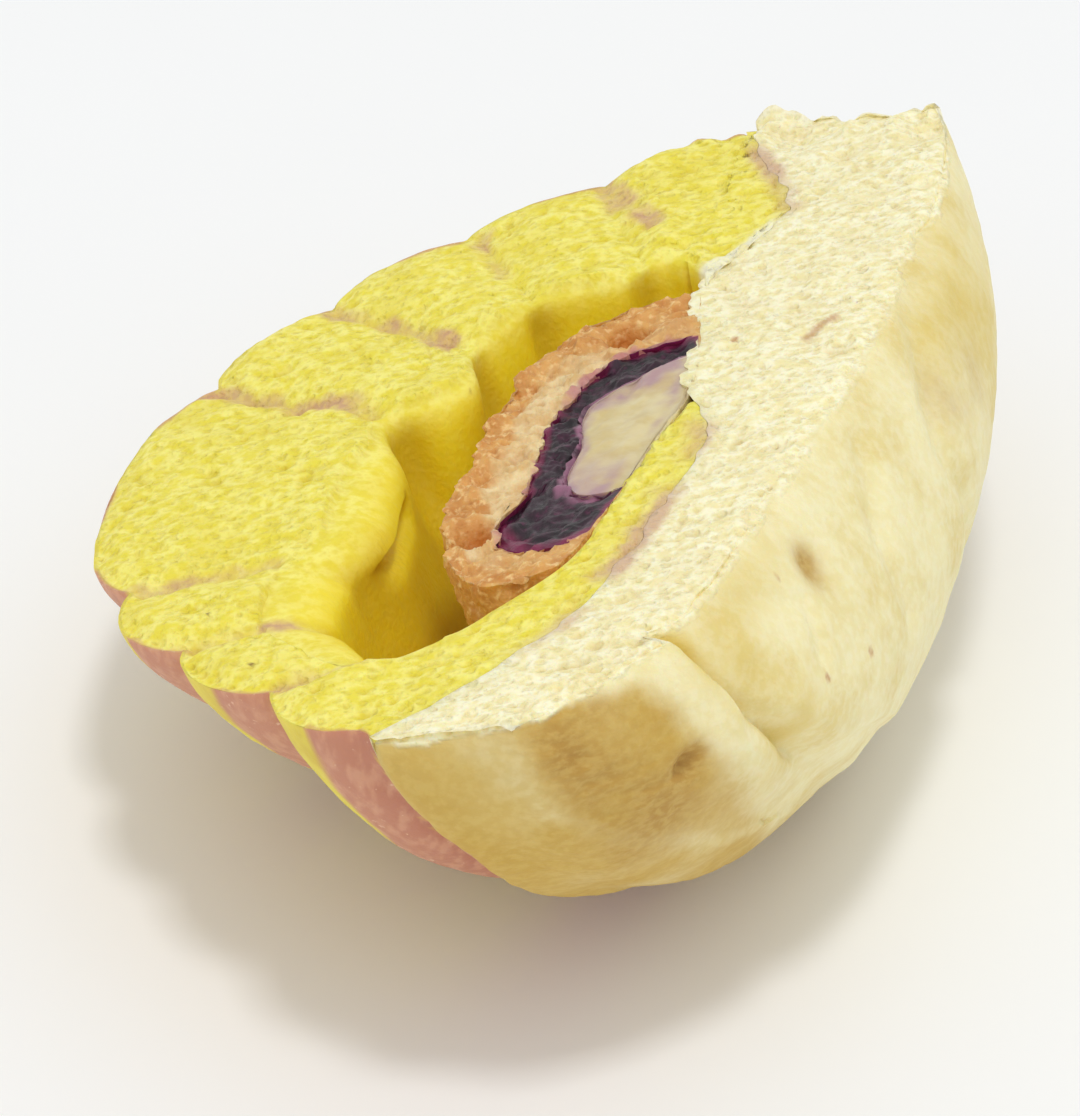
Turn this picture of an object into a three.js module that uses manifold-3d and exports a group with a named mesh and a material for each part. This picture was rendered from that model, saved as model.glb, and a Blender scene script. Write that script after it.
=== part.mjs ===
import * as THREE from 'three';
import { ParametricGeometry } from 'three/addons/geometries/ParametricGeometry.js';
import { mergeVertices } from 'three/addons/utils/BufferGeometryUtils.js';
import Module from 'manifold-3d';

// A filled two-colour brioche bun, cut in half and lying on its back, cut face up.
// Millimetres, +Z up, origin under the middle of the piece where it rests.
//
// The bun has axes of its own: u runs along the cut, v climbs from the base to the
// crown, and w points out of the cut face. Everything is shaped in (u, v, w) and laid
// down by one turn at the end.

// --- driving sizes -------------------------------------------------------------------
const HALF_WIDTH = 50;
const CROWN_HEIGHT = 50;
const CUT_DEPTH = 30.4;
const BASE_SAG = 7.6;
const GAP = 0.3;

// How the piece lies, in degrees: the cut face dips towards the crown and a little towards
// the far end, and the whole is turned about the vertical. It rests on a spot that its own
// weight has pressed flat.
const CROWN_DIP = 16.23;
const END_DIP = 2.76;
const HEADING = 70.77;
const REST_DEPTH = 0.9;

// The yellow dough is one rope coiled from the rim to the crown. Its creases climb by
// this many degrees of latitude a turn, a little more with each turn.
const FIRST_CREASE = 18.6;
const CREASE_CLIMB = 13.6;
const CREASE_GROWTH = 0.5;
const CREASE_DEPTH = 2.4;
const RING_RADIUS = 49.4;
const CREASE_ROUNDNESS = 0.6;
const CREASE_FADE_TURNS = [2.4, 2.8];
const ROPE_TURNS = 4;
const ROWS_A_TURN = 6;

// The bun swells at the two ends of the cut: by how much, and at which latitude.
const FAR_SWELL = { size: 5.2, latitude: 18, spread: 10 };
const NEAR_SWELL = { size: 2.4, latitude: 13, spread: 10 };
const NEAR_PULL = 0.55;
const NEAR_PULL_LATITUDES = [8, 30];

// The white dough is a dish. Its upper face, from the bun axis out to the rim, as
// [share of the half width, height], towards the left end and towards the right end.
const DISH_LEFT = [[0, 4.4], [0.12, 0.9], [0.3, 0], [0.5, 0], [0.67, 0.6], [0.78, 2.6],
  [0.88, 5.6], [0.96, 8], [1.04, 10.8], [1.3, 18]];
const DISH_RIGHT = [[0, 4.4], [0.1, 5.4], [0.22, 7.4], [0.34, 9.4], [0.44, 10.6],
  [0.54, 8.4], [0.64, 6.8], [0.72, 8.8], [0.86, 13], [1.04, 18], [1.3, 25]];

// The dish's free edge on the skin: its height at the left end, the height it drops to
// just behind that end, and the height it climbs to at the right end.
const EDGE_LEFT = 11.4;
const EDGE_LOW = 8;
const EDGE_RIGHT = 18;
const EDGE_DROP_ANGLE = 24;
const EDGE_CLIMB_ANGLES = [60, 175];
const EDGE_BLEND = { below: 1, above: 3 };

// The hollow that the steam left, drawn round in the cut face as [u, v].
const HOLLOW = [[10, 6.6], [17, 8.8], [22.5, 12.2], [23.8, 15], [20.6, 17], [19.4, 20.6],
  [17.6, 23.2], [13.6, 24.6], [9.2, 25], [5.2, 23.4], [1.4, 24.6], [-0.9, 27.6],
  [-6, 25.8], [-13, 23.6], [-19.6, 21.8], [-24, 22.6], [-29.4, 21.8], [-33.8, 18.8],
  [-37, 15.4], [-37.4, 12.4], [-35, 10], [-31.2, 7.4], [-26, 4.9], [-18, 4.3],
  [-8, 4.3], [1, 4.4]];
const HOLLOW_CENTRE = [-8, 14];
const HOLLOW_DEPTH = 17;

// The crumb rolls over into the hollow: how wide that roll is, as [degrees round the
// hollow, width], and how deep it goes. It is widest under the last turn of the rope.
const ROLL = [[-180, 1.2], [-150, 0.4], [-30, 0.4], [10, 0.8], [50, 1.4], [80, 1.6],
  [100, 3.6], [125, 4], [140, 2.6], [165, 1.6], [180, 1.2]];
const ROLL_DEPTH = 2.4;
const ROLL_EASE = 1.6;
const LIP = 0.8;

// The filling stands in the hollow: a sponge shell, fruit inside it, cream inside that.
const SPONGE = [[17.6, 7], [16.9, 12.5], [14.6, 16.6], [8.4, 19.4], [0, 19.9], [-8, 18.6],
  [-15.6, 18], [-21.6, 16], [-27, 12.9], [-29.2, 10], [-28.4, 7], [-22, 2], [0, 1]];
const COMPOTE = [[9.6, 6], [8.6, 10.6], [6.4, 13], [1.6, 14.2], [-7, 13.9], [-14.6, 12.1],
  [-20, 12.6], [-23.8, 10.2], [-23.6, 6.6], [-18, 2], [0, 1]];
const CREAM = [[7.4, 4], [6.2, 7], [3.2, 9.6], [-1.6, 12], [-8.2, 10], [-12.6, 9.6],
  [-15.6, 7.2], [-13, 2], [0, 1]];
const FILLING_CENTRE = [-6, 9];
const SPONGE_DEPTH = 15.5;
const COMPOTE_DEPTH = 11;
const CREAM_DEPTH = 7.5;

// Where each turn of the rope meets the next in the cut face, as degrees round the heart
// of the coil, and how far each cut turn puffs up between those lines.
const COIL_HEART = [-3, 10];
const COIL_LINES = [-8, 18, 34.5, 52.5, 77, 133, 151, 168, 192, 352];
const PUFFED_TURNS = 8;
const PUFF = 1;
const PUFF_COLUMNS = 5;
const KNIFE_RADII = [0, 12, 22, 30, 38, 46, 56, 100];
const KNIFE_CLEARANCE = 20;
const PROUD = 6;

// The base: a step runs across it where one fold of white dough laps over the other.
const STEP_LINE = [[-36, 2], [-34.3, -1.4], [-31.6, -8], [-25.9, -14.8], [-15.7, -22.4],
  [-6, -30]];
const STEP_HEIGHT = 2.6;
const STEP_WIDTH = 2.4;
const STEP_FADE = 16;
const FOLDS = [
  { from: [-30, -2], to: [-13, -12], width: 2.2, depth: 0.9 },
  { from: [-13, -12], to: [-9, -20], width: 2.2, depth: 1.1 },
  { from: [17, 0], to: [19, -17], width: 2.6, depth: 1.1 },
  { from: [1, -8], to: [6, -22], width: 2.4, depth: 0.8 },
];
const BASIN = { at: [-39, -9], width: 7, depth: 1.5 };
const BASE_BELLY = 4.8;
const BASE_FULLNESS = { right: 2.2, left: 6 };
const BASE_ROUNDING = 0.8;
const BELLY_LEAN = 0.8;
const RELIEF_FADE = 0.4;
const SKIRT_DEPTH = 20;
const SKIRT_TAPER = 0.004;

// Cells of the bun's skin, round and up.
const COLUMNS = 56;
const SKIRT_ROWS = 3;
const RIM_ROWS = 3;
const CROWN_ROWS = 3;

// Blocks that trim the bun: their size, middle and cells.
const DISH_BLOCK = { size: [136, 60, 72], middle: [0, -30, -24], cells: [46, 1, 24] };
const BASE_BLOCK = { size: [136, 80, 72], middle: [0, 40, -24], cells: [62, 1, 33] };
const GROUND = { width: 300, thickness: 40 };

const radians = THREE.MathUtils.degToRad;
const degrees = THREE.MathUtils.radToDeg;
const { lerp, smoothstep, clamp } = THREE.MathUtils;

const wasm = await Module();
wasm.setup();

// --- the outside of the bun ----------------------------------------------------------

// Latitude of the rope's crease after so many turns from the right-hand end.
function creaseLatitude(turn) {
  return FIRST_CREASE + CREASE_CLIMB * turn + CREASE_GROWTH * turn * turn;
}

// The same rule the other way round: turns climbed at a latitude.
function turnsAt(latitude) {
  const reach = CREASE_CLIMB * CREASE_CLIMB + 4 * CREASE_GROWTH * (latitude - FIRST_CREASE);
  return (Math.sqrt(Math.max(reach, 0)) - CREASE_CLIMB) / (2 * CREASE_GROWTH);
}

// Share of the way round the back, from the left end (0) to the right end (1), that the
// free edge of the white dough has climbed.
function edgeClimb(fromLeft) {
  return smoothstep(fromLeft, ...EDGE_CLIMB_ANGLES);
}

// How far the free edge has dropped below its height at the left end.
function edgeDrop(fromLeft) {
  const drop = (EDGE_LEFT - EDGE_LOW) * smoothstep(fromLeft, 0, EDGE_DROP_ANGLE);
  return drop * (1 - edgeClimb(fromLeft));
}

// Height of the white dough's free edge, which near the rim is also its latitude.
function whiteEdge(azimuth) {
  const fromLeft = 180 - degrees(azimuth);
  return lerp(EDGE_LEFT, EDGE_RIGHT, edgeClimb(fromLeft)) - edgeDrop(fromLeft);
}

// The skin swells between two creases and pinches in at each of them.
function ropeSwell(latitude, azimuth) {
  const left = (1 - Math.cos(azimuth)) / 2;
  const turn = turnsAt(latitude) - azimuth / (2 * Math.PI);
  const phase = turn - Math.floor(turn);
  const pinch = 1 - Math.abs(Math.sin(Math.PI * phase)) ** CREASE_ROUNDNESS;
  const edge = whiteEdge(azimuth);
  const fromWhite = smoothstep(latitude, edge - EDGE_BLEND.below, edge + EDGE_BLEND.above);
  const crownFade = 1 - left * smoothstep(turn, ...CREASE_FADE_TURNS);
  return -CREASE_DEPTH * pinch * fromWhite * crownFade;
}

// A bell-shaped swelling round one latitude.
function swelling({ size, latitude: middle, spread }, latitude) {
  return size * Math.exp(-(((latitude - middle) / spread) ** 2));
}

// The two ends of the cut bulge, the right one most.
function endBulge(latitude, azimuth) {
  const right = Math.max(Math.cos(azimuth), 0) ** 2;
  const left = Math.max(-Math.cos(azimuth), 0) ** 2;
  return swelling(FAR_SWELL, latitude) * right + swelling(NEAR_SWELL, latitude) * left;
}

// Seen from the crown the bun is an oval, drawn in towards its back on the left side.
function ovalShare(latitude, azimuth) {
  const left = (1 - Math.cos(azimuth)) / 2;
  const power = 2 - NEAR_PULL * left * smoothstep(latitude, ...NEAR_PULL_LATITUDES);
  const c = Math.abs(Math.cos(azimuth)) ** power;
  const s = Math.abs(Math.sin(azimuth)) ** power;
  return (c + s) ** (-1 / power);
}

// Distance of a point from a straight fold line, both in the plane of the base.
function lineDistance(u, w, from, to) {
  const alongU = to[0] - from[0];
  const alongW = to[1] - from[1];
  const share = ((u - from[0]) * alongU + (w - from[1]) * alongW) / (alongU ** 2 + alongW ** 2);
  const t = clamp(share, 0, 1);
  return Math.hypot(u - from[0] - t * alongU, w - from[1] - t * alongW);
}

// Signed distance to the step across the base: positive on the lapped, right-hand side.
function stepSide(u, w) {
  let nearest = Infinity;
  let side = 1;
  for (let i = 1; i < STEP_LINE.length; i += 1) {
    const [a, b] = [STEP_LINE[i - 1], STEP_LINE[i]];
    const distance = lineDistance(u, w, a, b);
    if (distance < nearest) {
      nearest = distance;
      side = Math.sign((b[0] - a[0]) * (w - a[1]) - (b[1] - a[1]) * (u - a[0]));
    }
  }
  return side * nearest;
}

// Relief of the base, outwards from its smooth form.
function baseRelief(u, w) {
  const side = stepSide(u, w);
  const lap = STEP_HEIGHT * smoothstep(side, -STEP_WIDTH / 2, STEP_WIDTH / 2);
  let height = lap * Math.exp(-Math.max(side, 0) / STEP_FADE);
  for (const fold of FOLDS) {
    const distance = lineDistance(u, w, fold.from, fold.to);
    height -= fold.depth * Math.exp(-((distance / fold.width) ** 2));
  }
  const basin = Math.hypot(u - BASIN.at[0], w - BASIN.at[1]) / BASIN.width;
  return height - BASIN.depth * Math.exp(-(basin ** 2));
}

// Height of the base: a shallow bowl under the rim, fuller at its left end.
function baseHeight(u, w) {
  const across = (-w * HALF_WIDTH) / CUT_DEPTH;
  const share = Math.min(Math.hypot(u, across) / HALF_WIDTH, 1.2);
  const left = (1 - Math.cos(Math.atan2(across, u))) / 2;
  const inside = 1 - share ** lerp(BASE_FULLNESS.right, BASE_FULLNESS.left, left);
  const belly = BASE_BELLY * Math.sin(Math.PI * clamp(-w / CUT_DEPTH, 0, 1) ** BELLY_LEAN);
  const sag = (BASE_SAG + belly) * Math.sign(inside) * Math.abs(inside) ** BASE_ROUNDING;
  return -sag - baseRelief(u, w) * Math.max(inside, 0) ** RELIEF_FADE;
}

// The skirt carries the wall of the rim on below the base, which then trims it.
function skirtPoint(share, azimuth) {
  const reach = share < 0.5 ? 2 * share : 1;
  const drop = share < 0.5 ? SKIRT_DEPTH : lerp(SKIRT_DEPTH, 0, 2 * share - 1);
  const [u, , w] = domePoint(0, azimuth);
  const inward = reach * (1 - SKIRT_TAPER * drop);
  return [u * inward, -drop, w * inward];
}

// A point of the dome at a latitude and an azimuth.
function domePoint(latitude, azimuth) {
  const back = Math.abs(azimuth);
  const radius = RING_RADIUS + endBulge(latitude, back) + ropeSwell(latitude, back);
  const rise = Math.sin(radians(latitude));
  const reach = Math.cos(radians(latitude)) * ovalShare(latitude, back);
  return [
    radius * reach * Math.cos(azimuth),
    radius * rise * (CROWN_HEIGHT / HALF_WIDTH),
    -radius * reach * Math.sin(azimuth) * (CUT_DEPTH / HALF_WIDTH),
  ];
}

// Rows of the skin run with the rope, so that every crease is an edge of the mesh.
const ROPE_ROWS = (ROPE_TURNS + 1) * ROWS_A_TURN;
const ROWS = SKIRT_ROWS + RIM_ROWS + ROPE_ROWS + CROWN_ROWS;

function bunPoint(x, y, target) {
  const azimuth = (2 * x - 1) * Math.PI;
  const back = Math.abs(azimuth) / (2 * Math.PI);
  const row = y * ROWS;
  const ropeStart = SKIRT_ROWS + RIM_ROWS;
  const lowest = creaseLatitude(back - 1);
  const highest = creaseLatitude(ROPE_TURNS + back * 0.9);
  let point;
  if (row <= SKIRT_ROWS) {
    point = skirtPoint(row / SKIRT_ROWS, azimuth);
  } else if (row <= ropeStart) {
    point = domePoint(lowest * ((row - SKIRT_ROWS) / RIM_ROWS), azimuth);
  } else if (row <= ropeStart + ROPE_ROWS) {
    const turn = (row - ropeStart) / ROWS_A_TURN - 1;
    point = domePoint(Math.min(creaseLatitude(turn + back), highest), azimuth);
  } else {
    const share = (row - ropeStart - ROPE_ROWS) / CROWN_ROWS;
    point = domePoint(lerp(highest, 90, share), azimuth);
  }
  target.set(...point);
}

// --- the cut face --------------------------------------------------------------------

// Radius of a closed outline round a centre, as a function of the angle.
function polarOutline(points, centre) {
  const curve = new THREE.CatmullRomCurve3(
    points.map(([u, v]) => new THREE.Vector3(u, v, 0)), true, 'centripetal');
  const samples = curve.getPoints(points.length * 8).map((p) => ({
    angle: Math.atan2(p.y - centre[1], p.x - centre[0]),
    radius: Math.hypot(p.x - centre[0], p.y - centre[1]),
  }));
  samples.sort((a, b) => a.angle - b.angle);
  return (angle) => {
    const next = samples.findIndex((s) => s.angle > angle);
    const high = samples[next === -1 ? 0 : next];
    const low = samples[next <= 0 ? samples.length - 1 : next - 1];
    const span = (high.angle - low.angle + 2 * Math.PI) % (2 * Math.PI);
    const along = (angle - low.angle + 2 * Math.PI) % (2 * Math.PI);
    return lerp(low.radius, high.radius, span > 0 ? along / span : 0);
  };
}

// A value read off a list of [place, value] pairs, straight from each pair to the next.
function valueAt(profile, place) {
  const end = profile.findIndex(([s]) => s >= place);
  if (end <= 0) {
    return end === 0 ? profile[0][1] : profile[profile.length - 1][1];
  }
  const [fromPlace, fromValue] = profile[end - 1];
  const [toPlace, toValue] = profile[end];
  return lerp(fromValue, toValue, (place - fromPlace) / (toPlace - fromPlace));
}

// Height of the white dough's upper face.
function dishTop(u, w) {
  const across = (-w * HALF_WIDTH) / CUT_DEPTH;
  const share = Math.hypot(u, across) / HALF_WIDTH;
  const fromLeft = 180 - degrees(Math.abs(Math.atan2(across, u)));
  const height = lerp(valueAt(DISH_LEFT, share), valueAt(DISH_RIGHT, share),
    edgeClimb(fromLeft));
  return height - edgeDrop(fromLeft) * Math.min(share, 1) ** 3;
}

// The knife's path round the heart of the coil. It is level over the white dough, and
// over each cut turn of the rope the crumb puffs up between that turn's two creases.
function cutPoint(x, y, target) {
  const column = x * (COIL_LINES.length - 1);
  const turn = Math.min(Math.floor(column), COIL_LINES.length - 2);
  const phase = column - turn;
  const angle = radians(lerp(COIL_LINES[turn], COIL_LINES[turn + 1], phase));
  const row = y * (KNIFE_RADII.length + 1);
  const ring = Math.min(Math.round(row), KNIFE_RADII.length - 1);
  const radius = row > KNIFE_RADII.length ? 0 : KNIFE_RADII[ring];
  const outwards = smoothstep(radius, 0, KNIFE_RADII[2]);
  const puff = turn < PUFFED_TURNS ? PUFF * Math.sin(Math.PI * phase) * outwards : 0;
  target.set(COIL_HEART[0] + radius * Math.cos(angle), COIL_HEART[1] + radius * Math.sin(angle),
    row > KNIFE_RADII.length - 1 ? KNIFE_CLEARANCE : puff);
}

// --- from geometry to solids ---------------------------------------------------------

// The turn that lays the bun down, from its own axes to the floor's.
const LAID = new THREE.Matrix4().makeRotationFromEuler(
  new THREE.Euler(-radians(CROWN_DIP), radians(END_DIP), radians(HEADING), 'ZXY'));

// One closed solid from a geometry: shared corners merged, collapsed faces dropped.
function solid(geometry) {
  const plain = new THREE.BufferGeometry();
  plain.setAttribute('position', geometry.getAttribute('position').clone());
  plain.setIndex(geometry.getIndex());
  plain.applyMatrix4(LAID);
  const merged = mergeVertices(plain, 1e-4);
  const corners = Array.from(merged.getIndex().array);
  const kept = [];
  for (let i = 0; i < corners.length; i += 3) {
    const [a, b, c] = corners.slice(i, i + 3);
    if (a !== b && b !== c && c !== a) {
      kept.push(a, b, c);
    }
  }
  const vertProperties = new Float32Array(merged.getAttribute('position').array);
  const build = (triVerts) => new wasm.Manifold(
    new wasm.Mesh({ numProp: 3, vertProperties, triVerts: new Uint32Array(triVerts) }));
  const outward = build(kept);
  if (outward.volume() > 0) {
    return outward;
  }
  const turned = [];
  for (let i = 0; i < kept.length; i += 3) {
    turned.push(kept[i], kept[i + 2], kept[i + 1]);
  }
  return build(turned);
}

// A block of cells, each of whose corners is moved by the rule.
function wavyBlock({ size, middle, cells }, rule) {
  const box = new THREE.BoxGeometry(...size, ...cells);
  box.translate(...middle);
  const places = box.getAttribute('position');
  const corner = new THREE.Vector3();
  for (let i = 0; i < places.count; i += 1) {
    corner.fromBufferAttribute(places, i);
    rule(corner);
    places.setXYZ(i, corner.x, corner.y, corner.z);
  }
  return solid(box);
}

// What lies above the knife's path.
function aboveCut() {
  const columns = (COIL_LINES.length - 1) * PUFF_COLUMNS;
  return solid(new ParametricGeometry(cutPoint, columns, KNIFE_RADII.length + 1));
}

// What lies below the dish's upper face, raised by a lift.
function dish(lift) {
  return wavyBlock(DISH_BLOCK, (corner) => {
    const isTop = corner.y > DISH_BLOCK.middle[1];
    corner.y = isTop ? dishTop(corner.x, corner.z) + lift : corner.y;
  });
}

// What lies above the underside of the base.
function aboveBase() {
  return wavyBlock(BASE_BLOCK, (corner) => {
    const isUnderside = corner.y < BASE_BLOCK.middle[1];
    corner.y = isUnderside ? baseHeight(corner.x, corner.z) : corner.y;
  });
}

// A body that has an outline in the cut face, stands a little proud of it, and rounds off
// to a point behind it. An inset keeps it clear of its neighbour all round, and a roll
// flares it out where it passes the cut face.
function bowl({ outline, centre, depth, sides, rows, power, roll = [[0, 0]] }, inset = 0) {
  const radius = polarOutline(outline, centre);
  return solid(new ParametricGeometry((x, y, target) => {
    const angle = (2 * x - 1) * Math.PI;
    const edge = radius(angle) - inset;
    const row = y * rows;
    let share = 1;
    let w = PROUD;
    if (row <= 1) {
      share = row;
    } else if (row <= 2) {
      w = lerp(PROUD, LIP, row - 1);
    } else {
      const fall = ((row - 2) / (rows - 2)) * Math.PI * 0.5;
      share = Math.cos(fall) ** (2 / power);
      w = -(depth - inset) * Math.sin(fall) ** (2 / power);
    }
    const lift = clamp(1 + w / ROLL_DEPTH, 0, 1 + LIP / ROLL_DEPTH);
    const flare = valueAt(roll, degrees(angle)) * lift ** ROLL_EASE;
    const reach = (edge + flare) * share;
    target.set(centre[0] + reach * Math.cos(angle), centre[1] + reach * Math.sin(angle), w);
  }, sides, rows));
}

// --- the pieces ----------------------------------------------------------------------

const cutAway = aboveCut();
const bun = solid(new ParametricGeometry(bunPoint, COLUMNS, ROWS)).intersect(aboveBase());
const whole = bun.subtract(cutAway);

// The piece comes to rest on a small flat spot worn on its underside.
const lowest = whole.boundingBox().min[2] + REST_DEPTH;
const ground = new THREE.BoxGeometry(GROUND.width, GROUND.width, GROUND.thickness)
  .translate(0, 0, lowest - GROUND.thickness / 2)
  .applyMatrix4(LAID.clone().invert());
const resting = whole.subtract(solid(ground));

const hollow = {
  outline: HOLLOW,
  centre: HOLLOW_CENTRE,
  depth: HOLLOW_DEPTH,
  sides: 60,
  rows: 14,
  power: 2.9,
  roll: ROLL,
};
const sponge = {
  outline: SPONGE,
  centre: FILLING_CENTRE,
  depth: SPONGE_DEPTH,
  sides: 40,
  rows: 10,
  power: 2.3,
};
const compote = {
  outline: COMPOTE,
  centre: FILLING_CENTRE,
  depth: COMPOTE_DEPTH,
  sides: 36,
  rows: 8,
  power: 2.2,
};
const cream = {
  outline: CREAM,
  centre: FILLING_CENTRE,
  depth: CREAM_DEPTH,
  sides: 32,
  rows: 7,
  power: 2,
};

// The filling keeps clear of the wall of the hollow, the dish and the knife's path.
const room = bowl(hollow, GAP);
const underFilling = dish(GAP);
const filling = (body) => body.intersect(room).subtract(underFilling).subtract(cutAway);

const PIECES = [
  {
    name: 'white_dough',
    body: resting.intersect(dish(0)),
    colour: 0xeee0b2,
    roughness: 0.75,
  },
  {
    name: 'yellow_dough',
    body: resting.subtract(dish(GAP)).subtract(bowl(hollow)),
    colour: 0xe8d84f,
    roughness: 0.8,
  },
  {
    name: 'sponge_shell',
    body: filling(bowl(sponge).subtract(bowl(compote))),
    colour: 0xc99a62,
    roughness: 0.9,
  },
  {
    name: 'fruit_compote',
    body: filling(bowl(compote, GAP).subtract(bowl(cream))),
    colour: 0x4b2038,
    roughness: 0.35,
  },
  {
    name: 'cream',
    body: filling(bowl(cream, GAP)),
    colour: 0xeadcb0,
    roughness: 0.5,
  },
];

function pieceMesh({ name, body, colour, roughness }) {
  const { vertProperties, triVerts } = body.getMesh();
  const geometry = new THREE.BufferGeometry();
  geometry.setAttribute('position', new THREE.BufferAttribute(vertProperties, 3));
  geometry.setIndex(new THREE.BufferAttribute(triVerts, 1));
  geometry.translate(0, 0, -lowest);
  geometry.computeVertexNormals();
  const material = new THREE.MeshStandardMaterial({ color: colour, roughness, metalness: 0 });
  const mesh = new THREE.Mesh(geometry, material);
  mesh.name = name;
  return mesh;
}

const brioche = new THREE.Group();
for (const piece of PIECES) {
  brioche.add(pieceMesh(piece));
}

// The origin lies under the middle of the piece.
const extent = new THREE.Box3().setFromObject(brioche);
const centre = extent.getCenter(new THREE.Vector3());
brioche.position.set(-centre.x, -centre.y, 0);

export default brioche;
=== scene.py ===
# %% [markdown]
# # Half of a filled brioche bun
# This lesson dresses one food part: a soft bun of yellow dough coiled on a pale dough base,
# cut in half and laid on its back, with a filling of sponge, fruit and cream in its hollow.
# The solids come ready made in the frame. Blender adds what the solids leave out: the open
# crumb, the pink skin between the turns of the rope, the folds of the base, and the finishes.

import math

import bpy
import numpy as np
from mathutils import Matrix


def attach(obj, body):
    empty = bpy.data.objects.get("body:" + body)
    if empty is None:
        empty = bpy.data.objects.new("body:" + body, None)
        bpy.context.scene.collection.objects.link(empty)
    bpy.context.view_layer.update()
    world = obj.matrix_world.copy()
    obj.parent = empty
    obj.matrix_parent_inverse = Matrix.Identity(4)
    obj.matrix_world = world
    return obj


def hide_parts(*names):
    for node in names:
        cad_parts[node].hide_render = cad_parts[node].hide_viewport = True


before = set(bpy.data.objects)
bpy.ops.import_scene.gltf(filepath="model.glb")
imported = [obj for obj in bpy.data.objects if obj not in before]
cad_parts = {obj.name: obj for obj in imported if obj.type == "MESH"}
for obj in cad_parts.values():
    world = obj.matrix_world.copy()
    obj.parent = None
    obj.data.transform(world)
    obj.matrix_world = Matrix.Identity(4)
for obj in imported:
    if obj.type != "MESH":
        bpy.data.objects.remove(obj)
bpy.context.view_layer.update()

# %% [markdown]
# ## Bun axes
# A bun is easiest to describe as if it stood on its base: u runs along the cut, v climbs
# from the base to the crown, and w comes straight out of the cut face. All sizes are in
# millimetres in these axes. One turn and one shift lay every finished point down on the
# floor, in metres, so each Blender object can keep its own origin at zero.

# %% Lay the bun down
CROWN_DIP = 16.23
END_DIP = 2.76
HEADING = 70.77
SHIFT = np.array([13.688, -3.491, 30.984])
METRES = 0.001


def turned(axis, degrees):
    """Matrix that turns about one axis: cosine and sine in the plane of the other two."""
    c, s = math.cos(math.radians(degrees)), math.sin(math.radians(degrees))
    matrix = np.eye(3)
    a, b = [(1, 2), (2, 0), (0, 1)][axis]
    matrix[a, a] = matrix[b, b] = c
    matrix[a, b], matrix[b, a] = -s, s
    return matrix


LAY = turned(2, HEADING) @ turned(0, -CROWN_DIP) @ turned(1, END_DIP)


def to_floor(points):
    """Bun millimetres to floor metres: turn by LAY, add the shift, divide by a thousand."""
    return (points @ LAY.T + SHIFT) * METRES


print("cut face looks along", np.round(LAY @ [0, 0, 1], 3))

# %% [markdown]
# ## Noise by hand
# Bread is irregular at every size. Blender's textures could shape it too, but noise that is
# worked out in numpy can be read back: the same number that sinks a pore can paint shade into it.
# Two kinds are enough here: soft noise for swelling and blotches, and pits for pores.

# %% Soft noise and pits


def scatter(cells, seed):
    """A fixed random number from 0 to 1 for each cell: its three whole numbers are
    multiplied by large odd numbers and added, then the bits are folded over twice."""
    x, y, z = (cells[..., k].astype(np.int64).astype(np.uint32) for k in range(3))
    mixed = x * np.uint32(374761393) + y * np.uint32(668265263) + z * np.uint32(2147483629)
    mixed = mixed + np.uint32(seed * 144665 % 4294967291)
    mixed = (mixed ^ (mixed >> np.uint32(13))) * np.uint32(1274126177)
    return (mixed ^ (mixed >> np.uint32(16))) / 4294967296.0


def soft_noise(points, size, seed):
    """Smooth noise from -1 to 1: random numbers at the corners of cells of that size,
    blended inside each cell with the weight 3t^2 - 2t^3 along each axis."""
    place = points / size
    cell = np.floor(place)
    t = place - cell
    t = t * t * (3 - 2 * t)
    total = np.zeros(points.shape[:-1])
    for corner in np.ndindex(2, 2, 2):
        corner = np.array(corner)
        weight = np.prod(np.where(corner == 1, t, 1 - t), axis=-1)
        total += weight * scatter(cell + corner, seed)
    return 2 * total - 1


def rough_noise(points, size, seed, layers=3):
    """Layers of soft noise added up, each half as large and half as strong as the last."""
    return sum(soft_noise(points, size / 2**k, seed + k) / 2**k for k in range(layers))


def pits(points, size, share, radius, seed):
    """Round pits, 0 between them and 1 at the bottom of each. Every cell of that size may
    hold one at a random place: a pit of radius r is worth 1 - (d/r)^2 at distance d, and
    the deepest of the nearest 27 counts. Each pit's own radius is 0.5 to 1 times r."""
    place = points / size
    cell = np.floor(place)
    deepest = np.zeros(points.shape[:-1])
    for step in np.ndindex(3, 3, 3):
        near = cell + np.array(step) - 1
        middle = near + np.stack([scatter(near, seed + k) for k in range(3)], axis=-1)
        own = scatter(near, seed + 3)
        reach = radius * (0.5 + 0.5 * scatter(near, seed + 4)) / size
        distance = np.linalg.norm(place - middle, axis=-1)
        depth = np.where(own < share, 1 - (distance / reach) ** 2, 0)
        deepest = np.maximum(deepest, depth)
    return deepest


def ease(value, low, high):
    """0 below low, 1 above high, and the smooth step 3t^2 - 2t^3 between them."""
    t = np.clip((value - low) / (high - low), 0, 1)
    return t * t * (3 - 2 * t)


def blend(a, b, t):
    """The mean of a and b, weighted 1 - t and t."""
    return a + (b - a) * t


def bell(distance, width):
    """Bell curve: 1 at distance 0 and 1/e at one width."""
    return np.exp(-((distance / width) ** 2))


# %% [markdown]
# ## The form of the bun
# The outside is a dome measured like a globe: latitude from the rim to the crown, azimuth
# from the right end of the cut round the back to the left end. The yellow dough is one rope
# coiled up that dome, so a single number, turns climbed, says where each crease runs.

# %% The dome and its rope
CUT_DEPTH = 30.4
RING_RADIUS = 49.4
FLATTENING = CUT_DEPTH / 50
FIRST_CREASE, CREASE_CLIMB, CREASE_GROWTH = 18.6, 13.6, 0.5
CREASE_DEPTH = 2.4
CREASE_ROUNDNESS = 0.6
EDGE_LEFT, EDGE_LOW, EDGE_RIGHT = 11.4, 8.0, 18.0


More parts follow.
